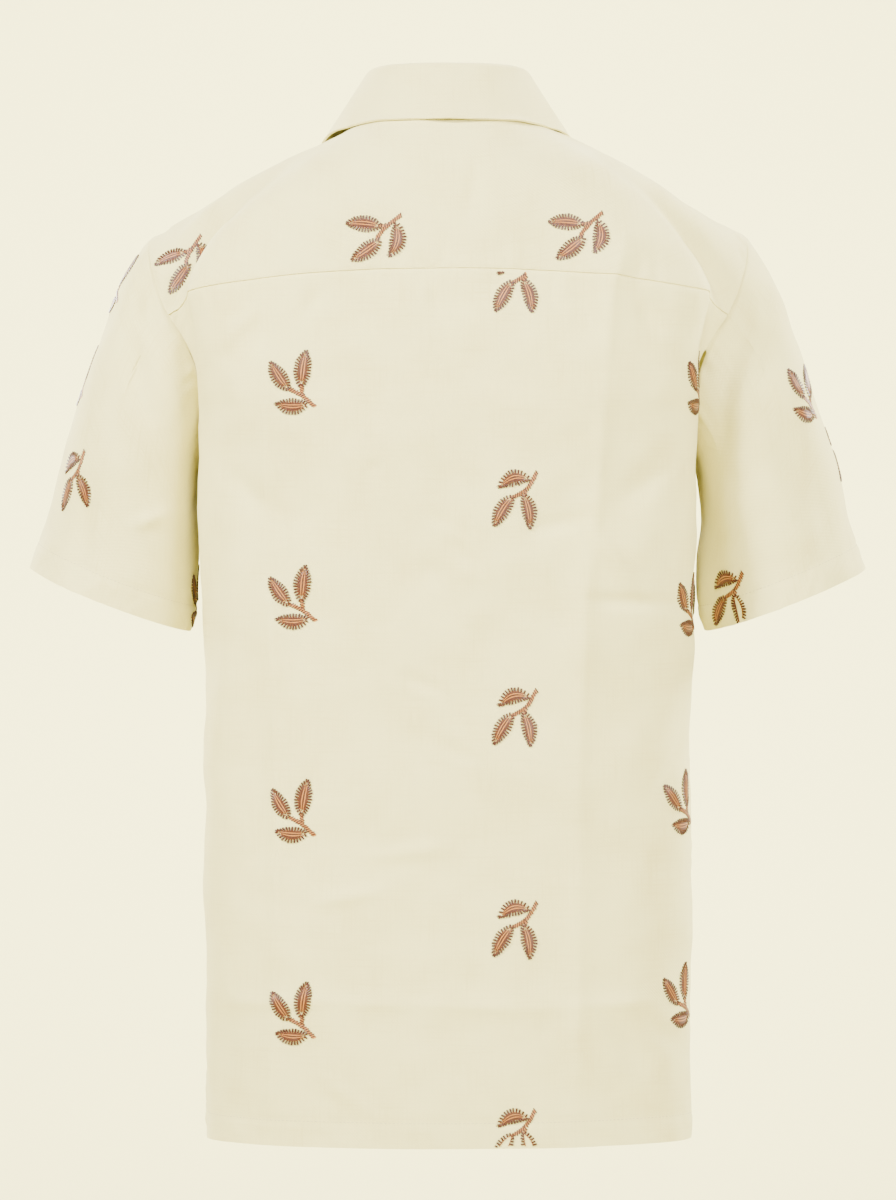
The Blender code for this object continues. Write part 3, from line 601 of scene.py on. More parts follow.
def table(columns, rows):
    """Named columns of a table, as arrays."""
    return dict(zip(columns, np.array(rows, dtype=float).T))


def hermite(start, end, leave, arrive, share):
    """Places on smooth runs from start to end that leave and arrive along the given vectors."""
    return (
        (1 + 2 * share) * (1 - share) ** 2 * start
        + share * (1 - share) ** 2 * leave
        + share * share * (3 - 2 * share) * end
        - share * share * (1 - share) * arrive
    )


def smooth(at, knots, values):
    """Values at the places `at` on a smooth curve through the knots."""
    at, knots, values = (np.asarray(data, dtype=float) for data in (at, knots, values))
    slopes = np.gradient(values, knots, axis=0)
    low = np.clip(np.searchsorted(knots, at, side="right") - 1, 0, len(knots) - 2)
    span = knots[low + 1] - knots[low]
    share = (at - knots[low]) / span
    if values.ndim == 2:
        share = share[..., None]
        span = span[..., None]
    return hermite(values[low], values[low + 1], span * slopes[low], span * slopes[low + 1], share)


def places_of(data, x, y, z):
    """Three columns of a table as points."""
    return np.stack([data[x], data[y], data[z]], axis=1)


def curve(rows, at):
    """Points of one edge curve, in metres."""
    data = table(CURVE_COLUMNS, rows)
    return smooth(at, data["along"], places_of(data, "x", "y", "z")) * MM


def unit(vectors):
    """Vectors scaled to length one."""
    return vectors / np.maximum(np.linalg.norm(vectors, axis=-1, keepdims=True), 1e-12)


def mirrored(points):
    """The same points on the other side of the centre."""
    return points * np.array((-1.0, 1.0, 1.0))


def run_along(line):
    """How far along a line of points each of them lies."""
    return np.concatenate([[0.0], np.cumsum(np.linalg.norm(np.diff(line, axis=0), axis=1))])


def at_lengths(line, stops):
    """Points at the given fractions of a line's length."""
    along = run_along(line)
    places = np.asarray(stops) * along[-1]
    return np.stack([np.interp(places, along, line[:, k]) for k in range(3)], axis=1)


def even_stops(count, start=True, end=True):
    """Stops from 0 to 1, closer together next to an end that is a seam."""
    stops = list(np.linspace(0, 1, count + 1))
    extra = [k / count for k in NEAR_EDGE]
    if start:
        stops += extra
    if end:
        stops += [1 - k for k in extra]
    return np.array(sorted(stops))


def body_section(form, up, end_x):
    """One row from the side crest towards the middle, as a fine line that stops at x = end_x."""
    read = {name: float(smooth(up, form["up"], form[name])) for name in FORM_COLUMNS[1:]}
    turn = np.linspace(math.pi / 2, 0, SECTION_STEPS)
    power = 2 / read["square"]
    x = read["crest_x"] * np.sin(turn) ** power
    y = read["crest_y"] + (read["middle_y"] - read["crest_y"]) * np.cos(turn) ** power
    fall = (x / read["crest_x"]) ** read["drop"]
    z = read["middle_z"] + (read["crest_z"] - read["middle_z"]) * fall
    half = np.stack([x, y, z], axis=1) * MM
    line = np.concatenate([half, mirrored(half[-2::-1])])
    keep = line[:, 0] > end_x
    last = int(np.argmin(keep)) if not keep.all() else len(line) - 1
    share = (line[last - 1, 0] - end_x) / (line[last - 1, 0] - line[last, 0])
    end = line[last - 1] + share * (line[last] - line[last - 1])
    return np.concatenate([line[:last], [end]])


def side_strip(edge, crest, stops):
    """From the seam at the side to the crest, which it meets running along Y."""
    turn = np.array((crest[0], (edge[1] + crest[1]) / 2, (edge[2] + crest[2]) / 2))
    s = np.asarray(stops)[:, None]
    return (1 - s) ** 2 * edge + 2 * s * (1 - s) * turn + s * s * crest


def side_edge(up, armhole):
    """The panel's outer edge: the side seam below the armpit, the armhole above it."""
    if up <= 1:
        return curve(SIDE_SEAM, up)
    return curve(armhole, up)


def body_rows():
    """Places up the body of every row of the panels."""
    low = even_stops(ROWS_LOW, end=False)
    high = 1 + even_stops(ROWS_HIGH, start=False)
    return np.concatenate([low, high[1:]])


def half_row(form, armhole, up, end_x, count, edge_end):
    """One row of the left half of a panel, from its side edge to x = end_x."""
    section = body_section(form, up, end_x)
    strip = side_strip(side_edge(up, armhole), section[0], even_stops(STRIP, end=False))
    inner = at_lengths(section, even_stops(count, start=False, end=edge_end))
    return np.concatenate([strip[:-1], inner])


def back_grid():
    """Rows of the back from the hem up, each from the left side to the right."""
    form = table(FORM_COLUMNS, BACK_FORM)
    rows = []
    for up in body_rows():
        left = half_row(form, ARMHOLE_BACK, up, 0.0, HALF_BACK, False)
        rows.append(np.concatenate([left, mirrored(left[-2::-1])]))
    return np.array(rows)


def front_grid():
    """Rows of the left front from the hem up, each from its side to its front edge."""
    form = table(FORM_COLUMNS, FRONT_FORM)
    edge = table(FRONT_EDGE_COLUMNS, FRONT_EDGE)
    rows = []
    for up in body_rows():
        end_x = float(np.interp(up, edge["up"], edge["x"])) * MM
        rows.append(half_row(form, ARMHOLE_FRONT, up, end_x, FRONT_WIDE, True))
    return np.array(rows)


def neck_curve(front_end, places):
    """Left half of the neckline of the yoke, from centre back to the front end."""
    data = table(CURVE_COLUMNS, NECK)
    points = np.concatenate([places_of(data, "x", "y", "z") * MM, [front_end]])
    return smooth(places, np.append(data["along"], 1.0), points)


def yoke_grid(back, front):
    """The yoke from its left front seam round to the right one; rows run outwards from the neck."""
    seam_front = front[-1][::-1]
    seam_back = back[-1]
    half = (len(seam_back) - 1) // 2
    run = table(YOKE_COLUMNS, YOKE_RUN)
    over = even_stops(ARM_TOP, start=False)[::-1]
    top = len(over) - 1
    places = np.concatenate([1 + over, np.linspace(1, 0, half + 1)[1:]])
    outer = np.concatenate([curve(ARMHOLE_TOP, over), seam_back[1:half + 1]])
    outer[0] = seam_front[-1]
    outer[top] = seam_back[0]
    neck = neck_curve(seam_front[0], smooth(places, run["place"], run["neck"]))
    stops = np.linspace(0, 1, 4 * ARM_TOP)[:, None]
    along = run_along(seam_front)
    along = along / along[-1]
    columns = []
    for number, place in enumerate(places):
        slope = math.radians(float(smooth(place, run["place"], run["start_slope"])))
        away = unit(neck[number] * np.array((1.0, 1.0, 0.0)))
        length = np.linalg.norm(outer[number] - neck[number])
        leave = (away * math.cos(slope) + np.array((0, 0, -math.sin(slope)))) * length
        ends = places_of(run, "end_x", "end_y", "end_z")
        arrive = unit(smooth(place, run["place"], ends)) * length
        columns.append(at_lengths(hermite(neck[number], outer[number], leave, arrive, stops), along))
    columns = np.array(columns)
    miss = seam_front - columns[0]
    for number in range(top):
        columns[number] += miss * (places[number] - 1) ** 2
    columns = np.concatenate([columns, mirrored(columns[-2::-1])])
    return columns.transpose(1, 0, 2), top


def armhole_ring(back, front, yoke, top):
    """The left armhole, once round: from the armpit up the back, over the shoulder, down the front."""
    armpit = int(np.argmin(abs(body_rows() - 1)))
    behind = back[armpit:, 0]
    over = yoke[-1, top::-1]
    ahead = front[armpit:, 0][::-1]
    return np.concatenate([behind, over[1:], ahead[1:]])


def sleeve_grid(ring):
    """Rows of the left sleeve from the armhole down; the last column repeats the first."""
    around = run_along(ring)
    around = around / around[-1]
    leaves = table(SLEEVE_COLUMNS, SLEEVE_LEAVES)
    ways = places_of(leaves, "away_x", "away_y", "away_z")
    stops = even_stops(SLEEVE_ROWS)[:, None]
    columns = []
    for number, place in enumerate(around):
        turn = 2 * math.pi * place
        cuff = CUFF_CENTRE - CUFF_OUTWARD * math.cos(turn) + CUFF_BACKWARD * math.sin(turn)
        start = ring[number]
        length = np.linalg.norm(cuff - start)
        leave = unit(smooth(place, leaves["round"], ways)) * length * SLEEVE_START_PULL
        arrive = unit(SLEEVE_AXIS) * length
        columns.append(hermite(start, cuff, leave, arrive, stops))
    return np.array(columns).transpose(1, 0, 2)


def grid_normals(grid, closed=False):
    """Normals of one grid by itself; a closed grid's last column repeats its first."""
    across = np.gradient(grid, axis=1)
    if closed:
        across[:, 0] = across[:, -1] = grid[:, 1] - grid[:, -2]
    return unit(np.cross(across, np.gradient(grid, axis=0)))


def seam_key(point):
    """Points of two pieces' shared seam have the same key."""
    return tuple(np.round(point / SEAM_GRID).astype(int))


def border(grid):
    """Row and column of every point on a grid's four sides."""
    rows, wide = grid.shape[:2]
    ends = [(r, c) for r in (0, rows - 1) for c in range(wide)]
    return ends + [(r, c) for c in (0, wide - 1) for r in range(rows)]


def seam_spots(grids):
    """Grid number, row and column of the border points at each place, by its seam key."""
    spots = {}
    for number, grid in enumerate(grids):
        for row, column in border(grid):
            spots.setdefault(seam_key(grid[row, column]), []).append((number, row, column))
    return spots


def welded_normals(grids, closed):
    """Normals of all grids, the same on both sides of each seam that isn't folded sharply."""
    ways = [grid_normals(grid, shut) for grid, shut in zip(grids, closed)]
    for spots in seam_spots(grids).values():
        first = ways[spots[0][0]][spots[0][1], spots[0][2]].copy()
        alike = [s for s in spots if ways[s[0]][s[1], s[2]] @ first > MITRE_LEAST]
        mean = unit(sum(ways[n][r, c] for n, r, c in alike))
        for n, r, c in alike:
            ways[n][r, c] = mean
    return ways


def hang_sleeves(torso, sleeves):
    """Wall normals of all pieces, and the sleeves set just off the body at a sharp seam."""
    ways = welded_normals(torso, [False] * len(torso))
    spots = seam_spots(torso)
    hung = []
    for sleeve in sleeves:
        own = grid_normals(sleeve, closed=True)
        moved = sleeve.copy()
        for number, point in enumerate(sleeve[0]):
            touching = spots.get(seam_key(point), ())
            if not touching:
                continue
            first = touching[0]
            way = ways[first[0]][first[1], first[2]].copy()
            agree = float(way @ own[0, number])
            moved[0, number] += way * UNDERARM_GAP * min(1 - agree, 1)
            if agree > MITRE_LEAST:
                own[0, number] = unit(way + own[0, number])
                for n, r, c in touching:
                    ways[n][r, c] = own[0, number]
        hung.append(moved)
        ways.append(own)
    return hung, ways


def line_distance(flat, line):
    """Distance from each flat place to a line of points, and how far along it the nearest is."""
    nearest = np.full(flat.shape[:-1], 1e9)
    along = np.zeros(flat.shape[:-1])
    for number, (a, b) in enumerate(zip(line, line[1:])):
        run = b - a
        share = np.clip(((flat - a) @ run) / (run @ run), 0, 1)
        away = np.linalg.norm(flat - a - share[..., None] * run, axis=-1)
        closer = away < nearest
        nearest[closer] = away[closer]
        along[closer] = ((number + share) / (len(line) - 1))[closer]
    return nearest, along


def facing(normals, side):
    """1 on the side of the shirt that the fold lies on, 0 on the other."""
    return np.clip(normals[..., 1] * side * 2, 0, 1)


def soft_folds(points, normals, rows):
    """How far each point sinks into the soft folds."""
    sunk = np.zeros(points.shape[:-1])
    for row in rows:
        fold = dict(zip(FOLD_COLUMNS, row))
        line = np.array(((fold["x1"], fold["z1"]), (fold["x2"], fold["z2"]))) * MM
        away, share = line_distance(points[..., (0, 2)], line)
        taper = np.sin(math.pi * (FOLD_ENDS + share * (1 - 2 * FOLD_ENDS)))
        shape = np.exp(-(away / (fold["width"] * MM)) ** 2) * taper
        sunk += fold["depth"] * MM * shape * facing(normals, fold["side"])
    return sunk


def pressed_creases(points, normals):
    """Height of the sharp creases left by the iron."""
    height = np.zeros(points.shape[:-1])
    for row in PRESSED:
        crease = dict(zip(PRESSED_COLUMNS, row))
        away, share = line_distance(points[..., (0, 2)], np.array(crease["line"]) * MM)
        uneven = 1 - PRESSED_FADE + PRESSED_FADE * np.sin(share * PRESSED_WAVES + crease["line"][0][0])
        taper = np.clip(np.minimum(share, 1 - share) / PRESSED_END, 0, 1)
        shape = np.exp(-away / (crease["width"] * MM)) * taper * uneven
        height += crease["height"] * MM * shape * facing(normals, crease["side"])
    return height


def ease(points):
    """The cloth's own slight unevenness, the same wherever two pieces meet."""
    flat = points.reshape(-1, 3) / EASE_SIZE
    large = np.array([noise.noise(Vector(p)) for p in flat])
    small = np.array([noise.noise(Vector(p) * EASE_FINER) for p in flat])
    return ((large + EASE_FINE_SHARE * small) * EASE_HEIGHT).reshape(points.shape[:-1])


def within(away, depth, edge):
    """1 nearer to a piece's side than a depth, 0 beyond it, with a soft edge."""
    return 1 / (1 + np.exp(np.clip((away - depth) / edge, -50, 50)))


def streaks(along, away, pitch, seed):
    """Uneven ripples that cross a seam: places along it and away from it, in metres."""
    spots = zip((along / pitch).ravel(), (away / (PUCKER_LENGTH * 2)).ravel())
    return np.array([noise.noise((a, b, seed)) for a, b in spots]).reshape(along.shape)


class Piece:
    """One cut piece: its outer face as rows of points, the normals there and its flat places."""

    def __init__(self, name, grid, closed=False, seams=None, hem=None):
        self.name = name
        self.grid = grid
        self.closed = closed
        self.seams = seams or {}
        self.hem = hem
        along = np.array([run_along(grid[:, k]) for k in range(grid.shape[1])]).T
        across = np.array([run_along(row) for row in grid])
        self.away = {
            "first_row": along,
            "last_row": along[-1] - along,
            "first_column": across,
            "last_column": across[:, -1:] - across,
        }
        self.flat = np.stack([across - across[:, -1:] / 2, along], axis=2)
        self.normals = None

    def hem_depth(self):
        """How deep its edge is turned up: a sleeve's cuff or the body's hem."""
        settings = cloth_settings()
        return settings.cuff if self.closed else settings.hem

    def relief(self):
        """Height of the puckers at the seams and of the hem, over the folded form."""
        height = np.zeros(self.grid.shape[:2])
        for number, (side, sink) in enumerate(self.seams.items()):
            away = self.away[side]
            along = self.flat[..., 0 if side.endswith("row") else 1]
            rise = np.exp(-away / PUCKER_LENGTH) * (1 - np.exp(-(away / PUCKER_START) ** 2))
            height += PUCKER_HEIGHT * rise * streaks(along, away, PUCKER_PITCH, 3.1 * number + len(self.name))
            height -= sink * np.exp(-(away / SEAM_ROLL) ** 2)
        if self.hem:
            away = self.away[self.hem]
            depth = self.hem_depth()
            height += HEM_RAISE * within(away, depth, HEM_EDGE)
            height -= HEM_DIP * np.exp(-((away - depth) / HEM_DIP_WIDTH) ** 2)
            slanted = self.flat[..., 0] + away * HEM_ROPE_SLANT
            near = np.exp(-((away - depth * HEM_ROPE_MIDDLE) / (depth * HEM_ROPE_REACH)) ** 2)
            height += HEM_ROPE * near * streaks(slanted, away, HEM_ROPE_PITCH, 9.7)
        return height

    def thickness(self):
        """The cloth's thickness at every point: one layer, and a second inside the hem."""
        one = np.full(self.grid.shape[:2], cloth_settings().thickness)
        if self.hem:
            one = one * (1 + HEM_LAYER * within(self.away[self.hem], self.hem_depth(), HEM_LAYER_EDGE))
        return one


# What one step of the work leaves for the next
BUILT = {}


def cloth_settings():
    """The scene's settings for the cloth."""
    return bpy.context.scene.shirt_cloth


def shirt_pieces():
    """The six pieces of the body with all folds, and the surface that collar and lapels lie on."""
    back = back_grid()
    front = front_grid()
    yoke, top = yoke_grid(back, front)
    sleeve = sleeve_grid(armhole_ring(back, front, yoke, top))

    # Every grid runs so that its outer face is the cloth's right side.
    under, lap = SEAM_UNDER, SEAM_LAP
    cuff = {"closed": True, "hem": "last_row", "seams": {"first_row": under}}
    pieces = [
        Piece(
            "back_panel", back, hem="first_row",
            seams={"last_row": under, "first_column": lap, "last_column": lap},
        ),
        Piece(
            "front_left", front[:, ::-1], hem="first_row", seams={"last_row": under, "last_column": under}
        ),
        Piece(
            "front_right", mirrored(front), hem="first_row",
            seams={"last_row": under, "first_column": under},
        ),
        Piece("back_yoke", yoke[:, ::-1], seams={"last_row": lap, "first_column": lap, "last_column": lap}),
        Piece("sleeve_left", sleeve, **cuff),
        Piece("sleeve_right", mirrored(sleeve)[:, ::-1], **cuff),
    ]
    flat_normals = welded_normals([p.grid for p in pieces], [p.closed for p in pieces])
    for piece, normals in zip(pieces, flat_normals):
        height = pressed_creases(piece.grid, normals) + ease(piece.grid) + piece.relief()
        height -= soft_folds(piece.grid, normals, FOLDS + SMALL_FOLDS)
        piece.grid = piece.grid + height[..., None] * normals
    torso = [p.grid for p in pieces[:4]]
    hung, ways = hang_sleeves(torso, [p.grid for p in pieces[4:]])
    for piece, grid, normals in zip(pieces, torso + hung, ways):
        piece.grid = grid
        piece.normals = normals
    left, right = pieces[1], pieces[2]
    BUILT["left_open"] = (left.grid, left.normals)
    BUILT["ground"] = surface_tree([left, right, pieces[0], pieces[3]])
    right.grid = underlap(right.grid, right.normals)
    return pieces


def surface_tree(pieces):
    """The outer faces of some pieces, to be hit or to find the nearest place on."""
    points = []
    faces = []
    for piece in pieces:
        rows, wide = piece.grid.shape[:2]
        index = np.arange(rows * wide).reshape(rows, wide) + len(points)
        points.extend(piece.grid.reshape(-1, 3).tolist())
        quads = np.stack([index[:-1, :-1], index[:-1, 1:], index[1:, 1:], index[1:, :-1]], axis=2)
        faces.extend(quads.reshape(-1, 4).tolist())
    return BVHTree.FromPolygons(points, faces)


def underlap(grid, normals):
    """Sink the right front's edge under the left front, smoothly from a little way off."""
    reach = np.clip((grid[..., 0] + UNDERLAP_START) / (UNDERLAP_START - UNDERLAP_FULL), 0, 1)
    soft = reach * reach * (3 - 2 * reach)
    return grid - (soft * UNDERLAP_DROP)[..., None] * normals


def keep_off(points, tree, lift):
    """Push points out until they stand at least `lift` above the cloth below them."""
    kept = []
    for p in points:
        place, normal, _, _ = tree.find_nearest(Vector(p))
        height = (Vector(p) - place).dot(normal)
        kept.append(np.array(p) + np.array(normal) * max(0.0, lift - height))
    return kept


def resample(points, count):
    """A smooth line through the points, with evenly spaced stops."""
    points = np.array(points)
    knots = run_along(points)
    return smooth(np.linspace(0, knots[-1], count), knots, points)


def collar_grid(neck, tree):
    """The collar from its seam up the stand, over the roll and down the fall, left half first."""
    form = table(COLLAR_COLUMNS, COLLAR_FORM)
    rolls = places_of(form, "roll_x", "roll_y", "roll_z") * MM
    edges = places_of(form, "edge_x", "edge_y", "edge_z") * MM
    columns = []
    for place in form["place"][-1] * even_stops(COLLAR_PLACES, start=False):
        seam = neck(place)
        roll = seam + smooth(place, form["place"], rolls)
        edge = seam + smooth(place, form["place"], edges)
        outward = unit((edge - roll) * np.array((1.0, 1.0, 0.0)))
        seam = seam - outward * (COLLAR_WALL + COLLAR_INSET)
        up = unit(roll - seam)
        down = unit(edge - roll)
        bend = [roll + (up * a + outward * b + down * c) * ROLL_RADIUS for a, b, c in ROLL_BEND]
        stand = [seam, (seam + bend[0]) / 2]
        fall = [bend[-1] + (edge - bend[-1]) * k / COLLAR_FALL for k in range(1, COLLAR_FALL + 1)]
        columns.append(resample(stand + bend + keep_off(fall, tree, LAY_LIFT), COLLAR_PROFILE))
    half = np.array(columns)
    whole = np.concatenate([half[::-1], mirrored(half[1:])])
    return whole.transpose(1, 0, 2)[:, ::-1]


def on_front(tree, x, z):
    """The place and normal of the cloth behind a place of the front view."""
    hit, normal, _, _ = tree.ray_cast(Vector((x, -IN_FRONT, z)), Vector((0, 1, 0)))
    return np.array(hit), np.array(normal)


def lapel_grid(front, front_normals, start, tree):
    """The left lapel: it rolls round the front's edge and lies on the front to its outer edge."""
    ups = body_rows()
    rolling = (ups >= BREAK_UP - 1e-6) & (ups <= GORGE_UP + 1e-6)
    edge_line = front[rolling][:, 0]
    stops = np.linspace(start, LAPEL_END, LAPEL_STOPS)
    edge = at_lengths(edge_line, stops)
    inner = at_lengths(front[rolling][:, 4], stops)
    normal = unit(smooth(stops, np.linspace(0, 1, len(edge_line)), front_normals[rolling][:, 0]))
    tangent = unit(np.gradient(edge, axis=0))
    away = edge - inner
    away = unit(away - (away * tangent).sum(axis=1, keepdims=True) * tangent)
    columns = []
    foot = edge[0]
    for number, point in enumerate(edge):
        share = number / (LAPEL_STOPS - 1)
        rim_x = foot[0] + LAPEL_FOOT_WIDTH + (LAPEL_TIP[0] - foot[0] - LAPEL_FOOT_WIDTH) * share
        rim_x += LAPEL_BELLY * math.sin(math.pi * share)
        rim_z = foot[2] + (LAPEL_TIP[1] - foot[2]) * share
        path = [point + (away[number] * a + normal[number] * b) * MM for a, b in LAPEL_ROLL]
        for f in np.linspace(0, 1, LAPEL_ACROSS + 1)[1:]:
            x = point[0] + (rim_x - point[0]) * f
            z = point[2] + (rim_z - point[2]) * f
            hit, hit_normal = on_front(tree, x, z)
            path.append(hit + hit_normal * LAY_LIFT)
        columns.append(path)
    return np.array(columns)


def cloth_object(piece, material, thickness):
    """A closed wall of cloth behind the piece's outer face, with flat places as its UV map."""
    grid, normals, flat = piece.grid, piece.normals, piece.flat
    rows, wide = grid.shape[:2]
    if piece.closed:
        grid, normals = grid[:, :-1], normals[:, :-1]
        thickness = thickness[:, :-1]
        index = np.arange(rows * (wide - 1)).reshape(rows, wide - 1)
        index = np.concatenate([index, index[:, :1]], axis=1)
    else:
        index = np.arange(rows * wide).reshape(rows, wide)
    inner = grid - normals * thickness[..., None]
    back = grid.shape[0] * grid.shape[1]
    spot = np.arange(rows * wide).reshape(rows, wide)

    def corners(table_of, a, b, c, d):
        """Quads from four shifted copies of an index table."""
        return np.stack([table_of[s] for s in (a, b, c, d)], axis=-1).reshape(-1, 4)

    low, high = slice(None, -1), slice(1, None)
    skin = ((low, low), (low, high), (high, high), (high, low))
    under = skin[::-1]
    faces = [corners(index, *skin), corners(index, *under) + back]
    places = [corners(spot, *skin), corners(spot, *under)]
    rims = [((0, high), (0, low)), ((-1, low), (-1, high))]
    if not piece.closed:
        rims += [((low, 0), (high, 0)), ((high, -1), (low, -1))]
    for a, b in rims:
        faces.append(np.stack([index[a], index[b], index[b] + back, index[a] + back], axis=-1).reshape(-1, 4))
        places.append(np.stack([spot[a], spot[b], spot[b], spot[a]], axis=-1).reshape(-1, 4))
    points = np.concatenate([grid.reshape(-1, 3), inner.reshape(-1, 3)])
    mesh = bpy.data.meshes.new(piece.name + "_cloth")
    mesh.from_pydata(points.tolist(), [], np.concatenate(faces).tolist())
    layer = mesh.uv_layers.new(name="flat_cloth")
    layer.data.foreach_set("uv", flat.reshape(-1, 2)[np.concatenate(places).ravel()].ravel())
    return dress(mesh, material, piece.name + "_cloth", "cloth", piece.name)


def dress(mesh, material, name, slot, *nodes):
    """Put a mesh on the shirt as one piece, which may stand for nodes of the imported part."""
    mesh.shade_smooth()
    mesh.set_sharp_from_angle(angle=SHARP_EDGE)
    mesh.materials.append(material)
    obj = bpy.data.objects.new(name, mesh)
    bpy.context.scene.collection.objects.link(obj)
    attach(obj, "root")
    if nodes:
        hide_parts(*nodes)
    return obj


class ThreadWork:
    """Stitches gathered into one mesh. Each is a closed strand, thickest in its middle."""

    def __init__(self):
        self.points = []
        self.faces = []
        self.shades = []

    def strand(self, line, normals, width, shade):
        """One strand along a line of points that lie on the cloth; its two ends dive into it."""
        tangent = unit(np.gradient(line, axis=0))
        side = unit(np.cross(normals, tangent))
        first = len(self.points)
        steps = len(line)
        start, end, power = STRAND_SWELL
        swell = np.sin(np.linspace(start, 1, steps) * math.pi * np.linspace(1, end, steps)) ** power
        dive = STRAND_DIVE * width
        self.points.append(line[0] - normals[0] * dive)
        for number in range(1, steps - 1):
            for k in range(STRAND_SIDES):
                turn = 2 * math.pi * k / STRAND_SIDES + math.pi / 2
                reach = side[number] * math.cos(turn) * width / 2
                reach = reach + normals[number] * (math.sin(turn) * STRAND_HEIGHT + STRAND_RAISE) * width
                self.points.append(line[number] + reach * swell[number])
        self.points.append(line[-1] - normals[-1] * dive)
        last = len(self.points) - 1
        for k in range(STRAND_SIDES):
            after = (k + 1) % STRAND_SIDES
            self.faces.append((first, first + 1 + after, first + 1 + k))
            for ring in range(steps - 3):
                low = first + 1 + ring * STRAND_SIDES
                high = low + STRAND_SIDES
                self.faces.append((low + k, low + after, high + after, high + k))
            end = first + 1 + (steps - 3) * STRAND_SIDES
            self.faces.append((last, end + k, end + after))
        self.shades.extend([shade] * (last - first + 1))

    def make(self, name, material, slot):
        """The stitches as one piece on the shirt."""
        mesh = bpy.data.meshes.new(name)
        mesh.from_pydata([tuple(p) for p in self.points], [], self.faces)
        shade = mesh.attributes.new("shade", "FLOAT", "POINT")
        shade.data.foreach_set("value", np.array(self.shades, dtype=np.float32))
        return dress(mesh, material, name, slot)


def row_line(piece, side, depth):
    """Points and normals on a piece at a depth from one side, one for each crossing line of it."""
    away = piece.away[side]
    if side.endswith("column"):
        away, grid, normals = away.T, piece.grid.transpose(1, 0, 2), piece.normals.transpose(1, 0, 2)
    else:
        grid, normals = piece.grid, piece.normals
    if side.startswith("last"):
        away, grid, normals = away[::-1], grid[::-1], normals[::-1]
    line, ways = [], []
    for column in range(grid.shape[1]):
        place = np.interp(depth, away[:, column], np.arange(len(away)))
        low = min(int(place), len(away) - 2)
        share = place - low
        line.append(grid[low, column] * (1 - share) + grid[low + 1, column] * share)
        ways.append(normals[low, column])
    return np.array(line), unit(np.array(ways))


def topstitch(work, line, ways, rng):
    """Even machine stitches along a line."""
    steps = run_along(line)
    count = int(steps[-1] / STITCH_PITCH)

    def at(place):
        """The point and normal at a length along the line."""
        spots = [np.interp(place, steps, data[:, k]) for data in (line, ways) for k in range(3)]
        return np.array(spots[:3]), np.array(spots[3:])

    for number in range(count):
        start = number * STITCH_PITCH + rng.uniform(-STITCH_JITTER, STITCH_JITTER) * MM
        points, normals = zip(*(at(start + STITCH_LENGTH * share) for share in STITCH_POINTS))
        work.strand(np.array(points), unit(np.array(normals)), SEWING_THREAD, rng.uniform(*SEWING_SHADES))


class Patch:
    """A square of a piece's surface, flattened around one place, that stitches are laid on."""

    def __init__(self, tree, view, across, height, turn):
        angle = math.radians(view)
        look = Vector((-math.sin(angle), math.cos(angle), 0))
        right = Vector((math.cos(angle), math.sin(angle), 0))
        place = right * across * MM + Vector((0, 0, height * MM))
        hit, normal, _, _ = tree.ray_cast(place - look * LOOK_FROM, look)
        if hit is None:
            # Past the outline: the nearest cloth on the side that is seen.
            hit, normal, _, _ = tree.find_nearest(place - look * 0.1)
        if normal.dot(look) > 0:
            normal = -normal
        up = (Vector((0, 0, 1)) - normal * normal.z).normalized()
        over = up.cross(normal)
        turn = math.radians(turn)
        east = over * math.cos(turn) + up * math.sin(turn)
        north = up * math.cos(turn) - over * math.sin(turn)
        self.spots = np.zeros((PATCH_STEPS + 1, PATCH_STEPS + 1, 3))
        self.ways = np.zeros_like(self.spots)
        self.off = np.zeros((PATCH_STEPS + 1, PATCH_STEPS + 1))
        self.spots[PATCH_STEPS // 2, PATCH_STEPS // 2] = hit
        self.ways[PATCH_STEPS // 2, PATCH_STEPS // 2] = normal
        # Walks outwards from the middle, so that the square bends with the cloth.
        outwards = sorted(range(PATCH_STEPS + 1), key=lambda k: abs(k - PATCH_STEPS // 2))
        for row in outwards:
            for column in outwards:
                self.settle(tree, row, column, east, north)

    def settle(self, tree, row, column, east, north):
        """Find one place of the square, one step further out than a place already found."""
        middle = PATCH_STEPS // 2
        before = [row, column]
        walked = 0 if column == middle else 1
        before[walked] += (before[walked] < middle) - (before[walked] > middle)
        before = tuple(before)
        way = Vector(self.ways[before])
        move = east * (column - before[1]) + north * (row - before[0])
        move = (move - way * move.dot(way)).normalized() * (2 * PATCH_HALF / PATCH_STEPS)
        goal = Vector(self.spots[before]) + move
        place, found, _, _ = tree.find_nearest(goal)
        if found.dot(way) < 0:
            found = -found
        miss = goal - place
        lateral = (miss - found * miss.dot(found)).length
        beyond = lateral > PATCH_BEYOND
        self.spots[row, column] = goal if beyond else place
        self.ways[row, column] = way if beyond else found
        self.off[row, column] = self.off[before] + lateral if beyond else 0.0

    def read(self, flat):
        """Points, normals and distance past the edge at flat places, given in millimetres."""
        place = (np.asarray(flat) * MM / PATCH_HALF + 1) * PATCH_STEPS / 2
        place = np.clip(place, 0, PATCH_STEPS - 1e-6)
        low = place.astype(int)
        share = place - low

        def blend(data):
            """Values between the four places round each one."""
            c, r = low[:, 0], low[:, 1]
            x, y = share[:, 0], share[:, 1]
            if data.ndim == 3:
                x, y = x[:, None], y[:, None]
            below = data[r, c] * (1 - x) + data[r, c + 1] * x
            above = data[r + 1, c] * (1 - x) + data[r + 1, c + 1] * x
            return below * (1 - y) + above * y

        return blend(self.spots), unit(blend(self.ways)), blend(self.off)


